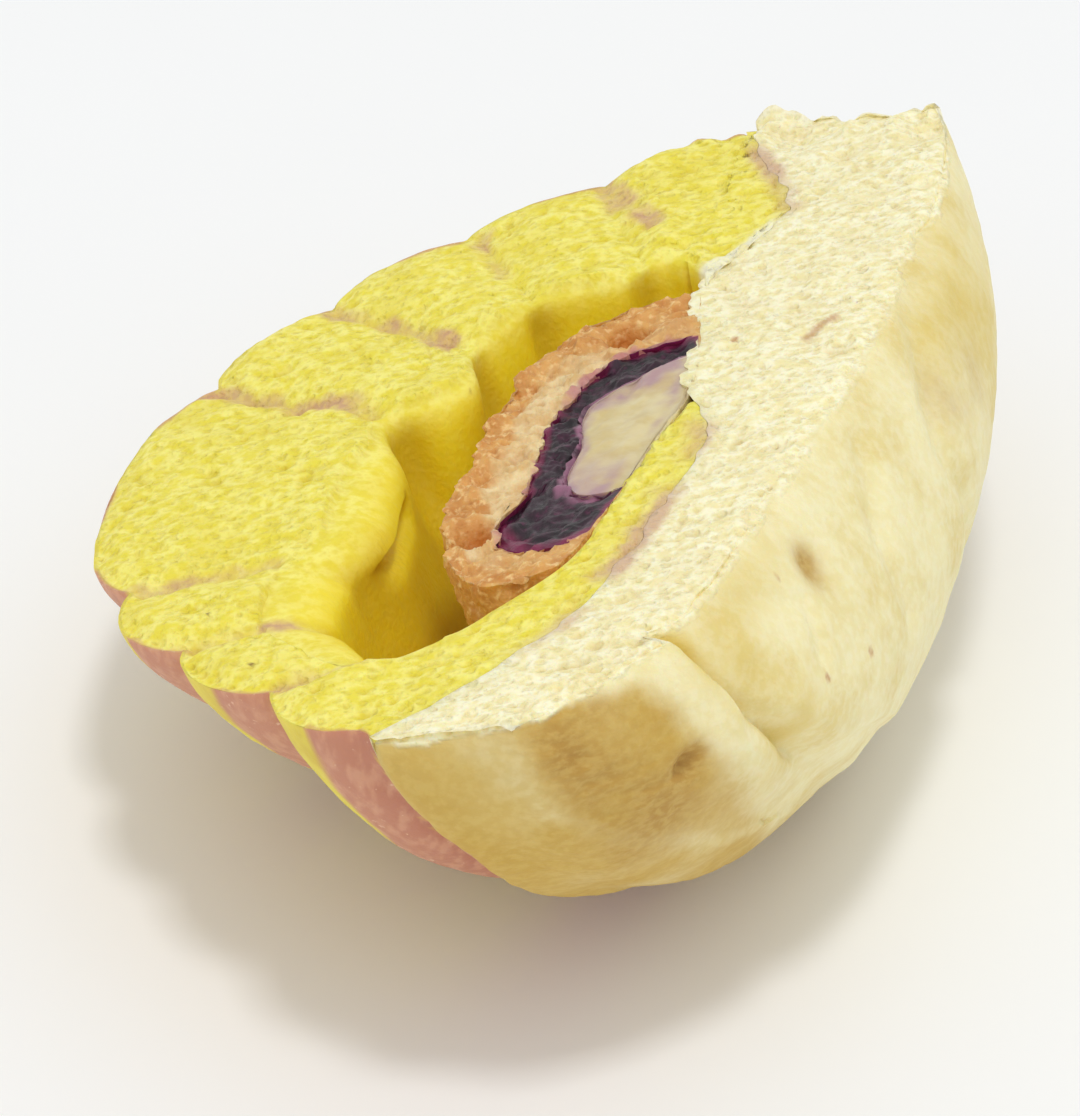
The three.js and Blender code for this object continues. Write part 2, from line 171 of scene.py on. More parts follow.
def turns_climbed(latitude, azimuth):
    """Turns from the right-hand end: the root of first + climb t + growth t^2 = latitude,
    less the share of a turn that the azimuth has gone round."""
    reach = CREASE_CLIMB**2 + 4 * CREASE_GROWTH * (latitude - FIRST_CREASE)
    turns = (np.sqrt(np.maximum(reach, 0)) - CREASE_CLIMB) / (2 * CREASE_GROWTH)
    return turns - azimuth / (2 * np.pi)


def edge_climb(azimuth):
    """How far the pale dough's free edge has climbed, 0 at the left end and 1 at the right."""
    return ease(180 - np.degrees(azimuth), 60, 175)


def edge_drop(azimuth):
    """Degrees that the free edge has dropped just behind the left end."""
    fallen = ease(180 - np.degrees(azimuth), 0, 24)
    return (EDGE_LEFT - EDGE_LOW) * fallen * (1 - edge_climb(azimuth))


def white_edge(azimuth):
    """Latitude of the pale dough's free edge: climb from left to right, less the drop."""
    return blend(EDGE_LEFT, EDGE_RIGHT, edge_climb(azimuth)) - edge_drop(azimuth)


def rope_swell(latitude, azimuth):
    """Millimetres that the skin pinches in: crease depth times 1 - |sin(pi phase)|^0.6,
    faded out on the pale dough and towards the crown on the left."""
    left = (1 - np.cos(azimuth)) / 2
    turn = turns_climbed(latitude, azimuth)
    pinch = 1 - np.abs(np.sin(np.pi * turn)) ** CREASE_ROUNDNESS
    edge = white_edge(azimuth)
    crown_fade = 1 - left * ease(turn, 2.4, 2.8)
    return -CREASE_DEPTH * pinch * ease(latitude, edge - 1, edge + 3) * crown_fade


def end_bulge(latitude, azimuth):
    """Swelling of the two ends of the cut: bell curves in latitude times cosine squared."""
    right = np.maximum(np.cos(azimuth), 0) ** 2
    left = np.maximum(-np.cos(azimuth), 0) ** 2
    return 5.2 * bell(latitude - 18, 10) * right + 2.4 * bell(latitude - 13, 10) * left


def dome(latitude, azimuth, lift=0.0):
    """Point of the dome: the radius on a globe, flattened behind the cut, with a
    superellipse of power 2 to 1.45 as its plan, drawn in towards the back on the left."""
    left = (1 - np.cos(azimuth)) / 2
    power = 2 - 0.55 * left * ease(latitude, 8, 30)
    c, s = np.abs(np.cos(azimuth)), np.abs(np.sin(azimuth))
    plan = (c**power + s**power) ** (-1 / power)
    radius = RING_RADIUS + end_bulge(latitude, azimuth) + rope_swell(latitude, azimuth) + lift
    rise, reach = np.sin(np.radians(latitude)), np.cos(np.radians(latitude)) * plan
    return np.stack([radius * reach * np.cos(azimuth), radius * rise + 0 * azimuth,
                     -radius * reach * np.sin(azimuth) * FLATTENING], axis=-1)


print("crown", np.round(dome(np.array(90.0), np.array(0.0)), 1),
      "left end", np.round(dome(np.array(10.0), np.array(np.pi)), 1))

# %% [markdown]
# The pale dough is a dish. Its upper face carries the yellow rope, and its base is where the
# folds of dough were pinched shut: one fold laps over the other, and that step is the first
# thing the eye finds on this side. Each fold is a line, and the relief is a function of the
# distance to it.

# %% The dish and its base
DISH_LEFT = np.array([[0, 4.4], [0.12, 0.9], [0.3, 0], [0.5, 0], [0.67, 0.6], [0.78, 2.6],
                      [0.88, 5.6], [0.96, 8], [1.04, 10.8], [1.3, 18]])
DISH_RIGHT = np.array([[0, 4.4], [0.1, 5.4], [0.22, 7.4], [0.34, 9.4], [0.44, 10.6],
                       [0.54, 8.4], [0.64, 6.8], [0.72, 8.8], [0.86, 13], [1.04, 18],
                       [1.3, 25]])
STEP_LINE = np.array([[-38.4, 2], [-38.1, -1.9], [-37.5, -4], [-36.4, -6.4], [-34.8, -8.6],
                      [-33.1, -10.6], [-30.6, -13.6], [-26.7, -17.2], [-20, -22.5], [-10, -29]])
LAP_END = np.array([[-34, -16.4], [-27.5, -17.2], [-23.5, -16.6], [-18, -18.6], [-8, -24],
                    [0, -30]])
BASIN_EDGE = np.array([[-52, 2], [-50, -1], [-49.5, -4], [-48.5, -7.5], [-45.5, -10.8],
                       [-41, -13.8], [-35, -17.8], [-29, -20.3]])
BASE_SAG, BASE_BELLY = 7.6, 4.8


def around(u, w):
    """Share of the way out from the bun's axis, and the azimuth, of a place on the plan."""
    across = -w / FLATTENING
    return np.hypot(u, across) / 50, np.abs(np.arctan2(across, u))


def dish_top(u, w):
    """Height of the pale dough's upper face: a left and a right profile, blended as the
    free edge climbs, less the drop times the share cubed."""
    share, azimuth = around(u, w)
    left = np.interp(share, *DISH_LEFT.T)
    right = np.interp(share, *DISH_RIGHT.T)
    height = blend(left, right, edge_climb(azimuth))
    return height - edge_drop(azimuth) * np.minimum(share, 1) ** 3


def line_distance(u, w, start, end):
    """Distance from a place to a straight line, and which side of it: 1 or -1."""
    along = np.array(end, float) - np.array(start, float)
    t = ((u - start[0]) * along[0] + (w - start[1]) * along[1]) / (along @ along)
    t = np.clip(t, 0, 1)
    side = np.sign(along[0] * (w - start[1]) - along[1] * (u - start[0]))
    return np.hypot(u - start[0] - t * along[0], w - start[1] - t * along[1]), side


def path_distance(u, w, path):
    """The shortest of the distances to the pieces of a path, with its side."""
    nearest, sign = np.full(np.shape(u), 1e3), np.ones(np.shape(u))
    for start, end in zip(path[:-1], path[1:]):
        distance, side = line_distance(u, w, start, end)
        sign = np.where(distance < nearest, side, sign)
        nearest = np.minimum(distance, nearest)
    return nearest * sign


LIP_HEIGHT, LAP_HEIGHT, LAP_FADE = (1.7, 0.8), (0.9, 2.3), 15.0
CREASES = [([(-32.9, 0), (-28.4, -2.7), (-24.2, -5.4), (-26.2, -8.8)], 0.8, 0.4),
           ([(26, 0), (21.2, -0.4), (13.4, -1.8), (10.4, -3.8), (7, -5.9), (5.5, -8.2),
             (5.6, -10.7), (7.1, -13.2), (9, -19)], 1.7, 0.9),
           ([(-4.7, -2.7), (-7.7, -5.1), (-10.4, -7.2), (-11.1, -10.1), (-10.5, -14)], 1.3, 0.5)]
DIMPLES = [((-20.4, -4.8), 1.9, 0.8), ((-40.6, -8.5), 1.0, 1.3), ((20, -8), 5.0, 0.5)]
BASIN_DEPTH = 1.0


def base_relief(u, w):
    """Millimetres outwards. The left fold ends in a ridge that falls away at the step line,
    sharply near the cut and more gently behind; the right fold swells up beyond it as a
    smooth step, up to its own end line, where the two grow together; less a bell-shaped
    groove along each crease, round dimples, and a basin with a crisp edge."""
    down = ease(-w, 0, 18)
    side = path_distance(u, w, STEP_LINE)
    apart = 1 - ease(-w, 14, 18)
    ridge = side + 2.2 * ease(-w, 5, 10)
    lip = blend(*LIP_HEIGHT, down) * np.exp(np.minimum(ridge, 0) / 3.2)
    lip = lip * (1 - ease((ridge + 0.15) / (0.7 + ridge - side), 0, 1)) * apart
    lapping = blend(0.6, 1.0, ease(path_distance(u, w, LAP_END), -0.6, 0.6))
    rise = blend(5.0, 2.4, ease(-w, 5, 10))
    swell = blend(*LAP_HEIGHT, down) * ease(side / rise, 0.02, 1) * lapping
    swell = swell * np.exp(-np.maximum(side - 5, 0) / LAP_FADE)
    height = lip + swell - 0.9 * bell(side - 0.4, 0.6) * apart
    for path, width, depth in CREASES:
        height = height - depth * bell(path_distance(u, w, np.array(path, float)), width)
    for at, width, depth in DIMPLES:
        height = height - depth * bell(np.hypot(u - at[0], w - at[1]), width)
    within = path_distance(u, w, BASIN_EDGE)
    basin = ease(within, -0.9, 1.2) * np.exp(-np.maximum(within, 0) / 6) * ease(u, -50, -47)
    return height - BASIN_DEPTH * basin


def base_height(u, w, share):
    """Height of the base at a share of the way out to the rim: a bowl whose profile is
    (1 - share^n)^0.8, deepened by a belly that is fullest behind the cut."""
    left = (1 - np.cos(around(u, w)[1])) / 2
    inside = np.clip(1 - share ** blend(2.2, 6.0, left), 0, 1)
    belly = BASE_BELLY * np.sin(np.pi * np.clip(-w / CUT_DEPTH, 0, 1) ** 0.8)
    return -(BASE_SAG + belly) * inside**0.8 - base_relief(u, w) * inside**0.4


print("base under the middle of the cut:", round(float(base_height(0.0, 0.0, 0.0)), 2))

# %% [markdown]
# ## From grids to a closed skin
# Each piece is a few rectangular grids whose borders share the same points. Welding merges
# those points, a cell that has collapsed to a triangle at a pole drops its double corner,
# and the result is one closed skin. Only then is the fine relief added, along the normals,
# so that it can't tear the borders open.

# %% Weld grids and add relief


def other_side(points, marks):
    """The same grid facing the other way: its rows in the opposite order."""
    turned_marks = {name: np.broadcast_to(values, points.shape[:2])[::-1]
                    for name, values in marks.items()}
    return points[::-1], turned_marks


def weld(patches):
    """Joins grids of points. A patch is (points, marks): an array rows x columns x 3, and a
    dict of arrays rows x columns. Points that round to the same nanometre become one."""
    places = np.concatenate([points.reshape(-1, 3) for points, _ in patches])
    names = sorted({name for _, marks in patches for name in marks})
    marks = {name: np.concatenate([np.broadcast_to(own.get(name, 0.0), points.shape[:2]).ravel()
                                   for points, own in patches]) for name in names}
    quads, start = [], 0
    for points, _ in patches:
        rows, columns = points.shape[:2]
        index = start + np.arange(rows * columns).reshape(rows, columns)
        quads.append(np.stack([index[:-1, :-1], index[:-1, 1:], index[1:, 1:],
                               index[1:, :-1]], axis=-1).reshape(-1, 4))
        start += rows * columns
    keys = np.round(places * 1e6).astype(np.int64)
    _, first, where = np.unique(keys, axis=0, return_index=True, return_inverse=True)
    quads = where.ravel()[np.concatenate(quads)]
    return places[first], quads, {name: values[first] for name, values in marks.items()}


def quad_mesh(name, points, quads):
    """A mesh from four-cornered cells: a cell with a double corner becomes a triangle, a
    cell with fewer than three corners is left out, and all faces are turned outwards."""
    double = np.stack([quads[:, k] == quads[:, (k + 1) % 4] for k in range(4)], axis=1)
    crossed = (quads[:, 0] == quads[:, 2]) | (quads[:, 1] == quads[:, 3])
    whole = quads[(double.sum(axis=1) == 0) & ~crossed]
    thin = (double.sum(axis=1) == 1) & ~crossed
    kept = ~double[thin]
    triangles = quads[thin][kept].reshape(-1, 3)
    corners = np.concatenate([whole.ravel(), triangles.ravel()])
    sizes = np.concatenate([np.full(len(whole), 4), np.full(len(triangles), 3)])
    mesh = bpy.data.meshes.new(name)
    mesh.vertices.add(len(points))
    mesh.vertices.foreach_set("co", points.astype(np.float32).ravel())
    mesh.loops.add(len(corners))
    mesh.loops.foreach_set("vertex_index", corners.astype(np.int32))
    mesh.polygons.add(len(sizes))
    mesh.polygons.foreach_set("loop_start", np.concatenate([[0], np.cumsum(sizes)[:-1]]))
    mesh.polygons.foreach_set("use_smooth", np.ones(len(sizes), bool))
    mesh.update(calc_edges=True)
    mesh.validate()
    return mesh


def signed_volume(points, quads):
    """Volume enclosed, positive where the cells face outwards: the sum over the cells'
    two triangles of one sixth of the corners' triple product."""
    a, b, c, d = (points[quads[:, k]] for k in range(4))
    return float((np.einsum("ij,ij->i", a, np.cross(b, c))
                  + np.einsum("ij,ij->i", a, np.cross(c, d))).sum() / 6)


def corner_normals(points, quads):
    """Unit normal at each point: the cross product of each cell's diagonals, added up over
    the cells that meet there."""
    across = np.cross(points[quads[:, 2]] - points[quads[:, 0]],
                      points[quads[:, 3]] - points[quads[:, 1]])
    total = np.stack([sum(np.bincount(quads[:, k], across[:, axis], len(points))
                          for k in range(4)) for axis in range(3)], axis=-1)
    return total / np.maximum(np.linalg.norm(total, axis=1, keepdims=True), 1e-12)


SHARP_DEGREES = 52


def build(name, patches, relief, node, finish):
    """A finished piece: welds the patches, turns them outwards, moves each point along its
    normal by the relief, lays it on the floor, pressed flat where it rests, keeps the edges
    sharp that turn by more than SHARP_DEGREES, and gives it its marks and material."""
    points, quads, marks = weld(patches)
    if signed_volume(points, quads) < 0:
        quads = quads[:, ::-1]
    points, marks = relief(points, corner_normals(points, quads), marks)
    placed = to_floor(points)
    placed[:, 2] = np.maximum(placed[:, 2], 0)
    mesh = quad_mesh(name, placed, quads)
    mesh.set_sharp_from_angle(angle=math.radians(SHARP_DEGREES))
    for mark, values in marks.items():
        layer = mesh.attributes.new(mark, "FLOAT", "POINT")
        layer.data.foreach_set("value", values.astype(np.float32))
    piece = bpy.data.objects.new(name, mesh)
    bpy.context.scene.collection.objects.link(piece)
    mesh.materials.append(finish)
    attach(piece, "root")
    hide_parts(node)
    pairs = np.sort(np.concatenate([quads[:, [k, (k + 1) % 4]] for k in range(4)]), axis=1)
    edges, uses = np.unique(pairs, axis=0, return_counts=True)
    lone = int(((uses != 2) & (edges[:, 0] != edges[:, 1])).sum())
    print(f"{name}: {len(points)} points, {len(quads)} cells, "
          f"{signed_volume(points, quads) / 1000:.2f} cm3, {lone} unpaired edges")


def lens(first, last, rows):
    """Grid of places between two curves that share their ends: row k is the mean of the
    curves, weighted by k / rows."""
    t = np.linspace(0, 1, rows + 1)[:, None, None]
    return first * (1 - t) + last * t

def tell(label, patches):
    """Prints how many points the welded patches have and the volume they close in."""
    points, quads, _ = weld(patches)
    volume = abs(signed_volume(points, quads)) / 1000
    print(f"{label}: {len(points)} points, {volume:.2f} cm3 before relief")


# %% [markdown]
# ## Colours and finishes
# Dough is matt and lets a little light in, so every dough finish is one shader with soft
# colour changes on it, a fine bump and a trace of scattering under the surface. The marks
# that the shapes carry (how deep a pore is, which is painted as shade, how brown the skin,
# how pink) choose between the colours, and procedural noise breaks them up at the scale of the
# crumb.

# %% Colour and node helpers


def paint(code):
    """A colour from its hex code: each channel c of 255 becomes ((c + 0.055) / 1.055)^2.4."""
    channels = [int(code[k:k + 2], 16) / 255 for k in (0, 2, 4)]
    return tuple(((c + 0.055) / 1.055) ** 2.4 if c > 0.04 else c / 12.92 for c in channels) + (1,)


class Finish:
    """A material under construction, with short calls for the nodes that all finishes use."""

    def __init__(self, name, roughness, scatter_weight=0.0, scatter_radius=(1, 1, 1)):
        self.material = bpy.data.materials.new(name)
        self.material.use_nodes = True
        self.nodes = self.material.node_tree.nodes
        self.links = self.material.node_tree.links
        self.shader = self.nodes["Principled BSDF"]
        self.shader.inputs["Roughness"].default_value = roughness
        self.shader.inputs["Subsurface Weight"].default_value = scatter_weight
        self.shader.inputs["Subsurface Radius"].default_value = scatter_radius
        self.shader.inputs["Subsurface Scale"].default_value = METRES
        self.place = self.nodes.new("ShaderNodeTexCoord").outputs["Object"]

    def mark(self, name):
        """Reads a mark that the mesh carries."""
        node = self.nodes.new("ShaderNodeAttribute")
        node.attribute_name = name
        return node.outputs["Fac"]

    def noise(self, size_mm, detail=3.0, stretch=None):
        """Noise whose lumps are about that many millimetres, stretched if asked."""
        place = self.place
        if stretch:
            turn = self.nodes.new("ShaderNodeMapping")
            turn.inputs["Rotation"].default_value = stretch[0]
            turn.inputs["Scale"].default_value = stretch[1]
            self.links.new(place, turn.inputs["Vector"])
            place = turn.outputs["Vector"]
        node = self.nodes.new("ShaderNodeTexNoise")
        node.inputs["Scale"].default_value = 1 / (size_mm * METRES)
        node.inputs["Detail"].default_value = detail
        self.links.new(place, node.inputs["Vector"])
        return node.outputs["Fac"]

    def cells(self, size_mm, wander=0.0):
        """Distance to the middle of the nearest of a crowd of cells of that size, whose
        places wander by that share of it."""
        place = self.place
        if wander:
            noise = self.nodes.new("ShaderNodeTexNoise")
            noise.inputs["Scale"].default_value = 1 / (size_mm * METRES)
            self.links.new(place, noise.inputs["Vector"])
            shift = self.nodes.new("ShaderNodeVectorMath")
            shift.operation = "MULTIPLY_ADD"
            self.links.new(noise.outputs["Color"], shift.inputs[0])
            shift.inputs[1].default_value = (wander * size_mm * METRES,) * 3
            self.links.new(place, shift.inputs[2])
            place = shift.outputs[0]
        node = self.nodes.new("ShaderNodeTexVoronoi")
        node.inputs["Scale"].default_value = 1 / (size_mm * METRES)
        self.links.new(place, node.inputs["Vector"])
        return node.outputs["Distance"]

    def step(self, value, low, high, to_low=0.0, to_high=1.0):
        """Maps low..high to to_low..to_high, smoothly and clamped."""
        node = self.nodes.new("ShaderNodeMapRange")
        node.interpolation_type = "SMOOTHSTEP"
        for name, number in zip(("From Min", "From Max", "To Min", "To Max"),
                                (low, high, to_low, to_high)):
            node.inputs[name].default_value = number
        self.links.new(value, node.inputs["Value"])
        return node.outputs["Result"]

    def math(self, operation, a, b):
        """One sum on two values; either may be a number."""
        node = self.nodes.new("ShaderNodeMath")
        node.operation = operation
        for socket, value in zip(node.inputs, (a, b)):
            if isinstance(value, (int, float)):
                socket.default_value = value
            else:
                self.links.new(value, socket)
        return node.outputs[0]

    def times(self, a, b):
        """The product of two values; either may be a number."""
        return self.math("MULTIPLY", a, b)

    def mix(self, amount, low, high):
        """Colour between two: each is a hex code or the result of another mix."""
        node = self.nodes.new("ShaderNodeMix")
        node.data_type = "RGBA"
        self.links.new(amount, node.inputs[0])
        for label, colour in (("A", low), ("B", high)):
            socket = next(s for s in node.inputs if s.name == label and s.type == "RGBA")
            if isinstance(colour, str):
                socket.default_value = paint(colour)
            else:
                self.links.new(colour, socket)
        return next(s for s in node.outputs if s.type == "RGBA")

    def bump(self, height, depth_mm, strength=1.0):
        """Adds a bump of that depth on top of the bumps already there."""
        node = self.nodes.new("ShaderNodeBump")
        node.inputs["Strength"].default_value = strength
        node.inputs["Distance"].default_value = depth_mm * METRES
        self.links.new(height, node.inputs["Height"])
        if self.shader.inputs["Normal"].is_linked:
            self.links.new(self.shader.inputs["Normal"].links[0].from_socket,
                           node.inputs["Normal"])
        self.links.new(node.outputs["Normal"], self.shader.inputs["Normal"])

    def colour(self, result):
        """Sets the base colour."""
        self.links.new(result, self.shader.inputs["Base Color"])


FOAM_SIZE, GRAIN_SIZE, WANDER = 0.9, 0.45, 0.8


def crumb_colours(f, size, tones, cell_shade, blotch, pore_shade, shares):
    """Colour of an open crumb: two tones in lumps of that size, with painted shade, by their
    shares, in the dips at the middles of the foam and grain cells, blotched, and darkest in
    the pores, as painted shade."""
    foam, grains = (f.step(f.cells(cell, WANDER), 0.12, 0.5) for cell in (FOAM_SIZE, GRAIN_SIZE))
    crumb = f.mix(f.step(f.noise(size, 3), 0.38, 0.64), *tones)
    for cells, share in zip((foam, grains), shares):
        # Painted shade: the cell colour darkens the middles of the cells, where the bumps dip.
        crumb = f.mix(f.times(f.math("SUBTRACT", 1.0, cells), share), crumb, cell_shade)
    crumb = f.mix(f.times(f.step(f.noise(5.0, 2), 0.45, 0.75), 0.5), crumb, blotch)
    # Painted shade: the pore colour, strongest where a pit is deepest.
    return f.mix(f.step(f.mark("pore_shade"), 0.05, 0.9), crumb, pore_shade), foam, grains


def crumb_bumps(f, foam, grains):
    """Fine lumps everywhere, and the cells of foam and grains where there is crumb."""
    f.bump(f.noise(0.45, 2), 0.2, 0.4)
    f.bump(f.times(foam, f.mark("crumb")), 0.3, 0.45)
    f.bump(f.times(grains, f.mark("crumb")), 0.15, 0.4)


# %% [markdown]
# ## The pale dough
# Seen here are its crumb in the cut, torn and white, and its skin: cream where the dough was
# only steamed soft in the oven, tan where it lay on the tray, with fine wrinkles. The piece
# is four grids: base, rim wall, hidden upper face, and the crumb. Its places on the plan
# are straight lines from the cut to the rim, so one column index serves all four.

# %% The grids of the pale dough
WHITE_COLUMNS, WALL_ROWS, BASE_ROWS, TOP_ROWS = 440, 54, 84, 6
LAP = 0.6
FAR_OFF = 9.0


def free_edge(azimuth):
    """Latitude of the free edge with its waviness: soft noise of 0.6 and 0.35 degrees along
    it, faded at both ends by the root of the sine."""
    places = np.stack([azimuth * 50, 0 * azimuth, 0 * azimuth], axis=-1)
    ends = np.sin(azimuth) ** 0.5
    return white_edge(azimuth) + (0.6 * soft_noise(places, 6.0, 11)
                                  + 0.35 * soft_noise(places, 2.2, 12)) * ends


def covered(u):
    """1 where the pale crumb reaches up to the filling and the yellow strip is buried."""
    return ease(u, -2, 2) * (1 - ease(u, 18.5, 21.5))


def seam_line(azimuth):
    """The line in the cut where pale and yellow dough meet, from right to left: the height
    of the dish's upper face, drawn to the two ends of the free edge, with a fine waviness
    that fades at both ends, and up to a millimetre higher where the strip is buried."""
    right = dome(free_edge(azimuth[:1]), azimuth[:1])[0]
    left = dome(free_edge(azimuth[-1:]), azimuth[-1:])[0]
    evenly = 1 - azimuth / np.pi
    u = blend(left[0], right[0], 0.96 * (1 + np.cos(azimuth)) / 2 + 0.04 * evenly)
    v = dish_top(u, 0 * u)
    v = v + (right[1] - dish_top(right[0], 0.0)) * bell(u - right[0], 4)
    v = v + (left[1] - dish_top(left[0], 0.0)) * bell(u - left[0], 4)
    places = np.stack([u, 0 * u, 0 * u], axis=-1)
    away = (1 - bell(u - left[0], 2.5)) * (1 - bell(u - right[0], 2.5)) * (1 - 0.9 * covered(u))
    v = v + (0.5 * soft_noise(places, 4.0, 21) + 0.3 * soft_noise(places, 1.3, 22)) * away
    over = 0.5 + 0.5 * soft_noise(places, 2.2, 23) + 0.35 * soft_noise(places, 0.8, 24)
    v = v + covered(u) * np.maximum(over, 0)
    line = np.stack([u, v, 0 * u], axis=-1)
    line[0], line[-1] = right, left
    return line


def rim_share(u, w):
    """Share of the way from the bun's axis to its rim."""
    share, azimuth = around(u, w)
    return share * 50 / (RING_RADIUS + end_bulge(0.0, azimuth))


def white_patches():
    """The four grids that close the pale dough."""
    azimuth = np.linspace(0, np.pi, WHITE_COLUMNS + 1)
    climb = np.linspace(0, 1, WALL_ROWS + 1)[:, None]
    lip = LAP * ease(climb, 0.5, 0.85) * (1 - 0.7 * ease(climb, 0.93, 1.0))
    round_it = np.broadcast_to(azimuth, (WALL_ROWS + 1, len(azimuth)))
    wall = dome(climb * free_edge(azimuth), round_it, lip * np.sin(azimuth) ** 0.3)
    rim = wall[0].copy()
    chord = rim * [1, 0, 0]
    base = lens(chord, rim, BASE_ROWS)
    share = rim_share(base[..., 0], base[..., 2])
    base[..., 1] = base_height(base[..., 0], base[..., 2], share)
    base[-1], base[:, 0], base[:, -1] = rim, rim[0], rim[-1]
    seam = seam_line(azimuth)
    seam[0], seam[-1] = wall[-1, 0], wall[-1, -1]
    top = lens(wall[-1], seam, TOP_ROWS)
    fade = np.linspace(1, 0, TOP_ROWS + 1)[:, None] ** 2
    exact = dish_top(top[..., 0], top[..., 2])
    drift = blend(seam[:, 1] - exact[-1], wall[-1, :, 1] - exact[0], fade)
    top[..., 1] = exact + drift
    top[0], top[-1] = wall[-1], seam
    across = np.linspace(0, 1, len(azimuth))
    sides = ((1 - across) ** 8, across**8)
    face = lens(base[0], seam, WALL_ROWS)
    straight = face.copy()
    for weight, column in zip(sides, (0, -1)):
        offset = wall[:, column] - straight[:, column]
        face = face + weight[None, :, None] * offset[:, None, :]
    face[0], face[-1], face[:, 0], face[:, -1] = base[0], seam, wall[:, 0], wall[:, -1]
    inner = np.sin(np.pi * climb) > 0.02
    crumb = np.where(inner, 1.0, 0.5) * np.ones(len(azimuth))
    to_seam, to_base = (np.linalg.norm(face - face[row], axis=-1) for row in (-1, 0))
    return [(base, {"skin": 1.0, "edge": np.linalg.norm(base - base[0], axis=-1)}),
            (wall, {"skin": 1.0, "side": climb * np.ones(len(azimuth)), "edge": -wall[..., 2]}),
            (top, {"crumb": 1.0, "edge": FAR_OFF}),
            other_side(face, {"crumb": crumb, "apart": to_seam, "edge": to_base})]


tell("pale dough", white_patches())

# %% [markdown]
# ### Relief and marks of the pale dough
# The crumb gets pores of three sizes, sunk along the normals, and a torn, lumpy swell. The
# skin gets fine wrinkles that run one way and a few blotches of brown. Every amount is a
# function of the place in bun axes, so it stays put however the grids are cut.

# %% Relief of the pale dough
TAN_BAND = np.array([[-50.5, 0.5], [-49, -2.5], [-47.2, -6.5], [-44, -9.6], [-39.5, -12.2],
                     [-33.5, -16.2], [-27, -18.8]])
# Two of these ovals, at (-20.6, -4.6) and (-40.6, -8.5), lie on the dimples there and make them
# darker.
TOASTED = [((-47, -3.4), (3.4, 2.6), 0.2), ((-44, -6.5), (4.5, 3.5), 0.1),
           ((-43, -15), (4.5, 4.5), 0.35), ((-41.5, -4), (1.6, 1.6), 0.2),
           ((-45.3, -1.6), (2, 1), 0.2), ((-20.6, -4.6), (1.8, 1.8), 0.6),
           ((9.5, -6.5), (3.2, 2.6), 0.35), ((17, -9), (5, 4), 0.25),
           ((-40.6, -8.5), (1.1, 1.1), 0.9)]
# Golden ovals: golden crust in places; the ones at (-37.3, -1.6), (-34, -4.5) and (-30.8, -11.6)
# lie in the crease of the step and are painted golden glow of light through the thin dough and
# painted shade.
GILT_AND_CREASE_SHADE = [((-28, -1.6), (5, 1.7), 0.8), ((26, -6), (10, 7), 0.6), ((14, -2.5), (6, 3), 0.35),
          ((-37.3, -1.6), (1.2, 2.8), 1.3), ((-30.8, -11.6), (2, 2.8), 1.1),
          ((-34, -4.5), (2.5, 3), 0.5)]
FLECKS = [((8.4, -2.1, 0), (11.4, -3.3, 0), 0.45, 0.7),
          ((9.7, -9.9, -2.5), (10.3, -9.9, -2.9), 0.3, 1),
          ((-23, -9.4, -0.6), (-23, -9.6, -1.0), 0.3, 0.8),
          ((-25, -10.4, -2.3), (-25, -10.5, -2.9), 0.3, 0.7),
          ((8.7, 3.9, 0), (9.1, 3.8, 0), 0.25, 0.9),
          ((-26.9, -13.0, -9.9), (-26.8, -13, -10.2), 0.3, 0.8),
          ((-19.8, -13.5, -11.9), (-19.7, -13.5, -12.2), 0.3, 0.8),
          ((-32.1, 30.2, 0), (-32, 30.3, 0), 0.16, 0.9),
          ((-40, 23.3, 0), (-40.1, 23.4, 0), 0.16, 0.9),
          ((-38.4, 16.8, 0), (-38.3, 16.9, 0), 0.18, 0.9),
          ((3.5, 24.6, -0.6), (4.3, 24.1, -0.6), 0.18, 0.9),
          ((19.6, 11.4, 0), (21.6, 13.0, 0), 0.9, 1)]


def open_crumb(places, seed, torn=0.0):
    """Depth in millimetres of a fluffy torn crumb, and how deep each place lies, 0 to 1, which
    the finishes paint as shade.
    Four layers of rough noise make the fluff. Pits make the dimples: wide ones squared,
    middle ones to the power 1.5, many small ones. Where torn is 1 the middle ones are 1.7
    times as deep and the small ones twice."""
    wide = pits(places, 5.0, 0.35, 1.7, seed) ** 2
    middle = pits(places, 2.1, 0.7, 0.85, seed + 10) ** 1.5
    small = pits(places, 1.0, 0.9, 0.45, seed + 20)
    fluff = rough_noise(places, 2.6, seed + 30, 4)
    depth = 0.6 * wide + 0.38 * (1 + 0.7 * torn) * middle + 0.17 * (1 + torn) * small - 0.2 * fluff
    return depth, np.clip(0.5 * wide + 0.45 * middle + 0.3 * small - 0.22 * fluff, 0, 1)


def oval(u, w, at, size):
    """Bell curve with its own width along u and along w."""
    return np.exp(-(((u - at[0]) / size[0]) ** 2) - ((w - at[1]) / size[1]) ** 2)


def ovals(u, w, table):
    """The ovals of a table added up, each as strong as its last number says."""
    return sum(strength * oval(u, w, at, size) for at, size, strength in table)


def fleck_marks(points):
    """Small flecks: full within half a width of each fleck's short line, and a smooth step
    down to nothing at 1.3 widths. The strongest one counts."""
    total = np.zeros(len(points))
    for start, end, width, strength in FLECKS:
        start, along = np.array(start, float), np.subtract(end, start)
        t = np.clip((points - start) @ along / (along @ along), 0, 1)
        away = np.linalg.norm(points - start - t[:, None] * along, axis=1)
        total = np.maximum(total, strength * (1 - ease(away, 0.5 * width, 1.3 * width)))
    return total


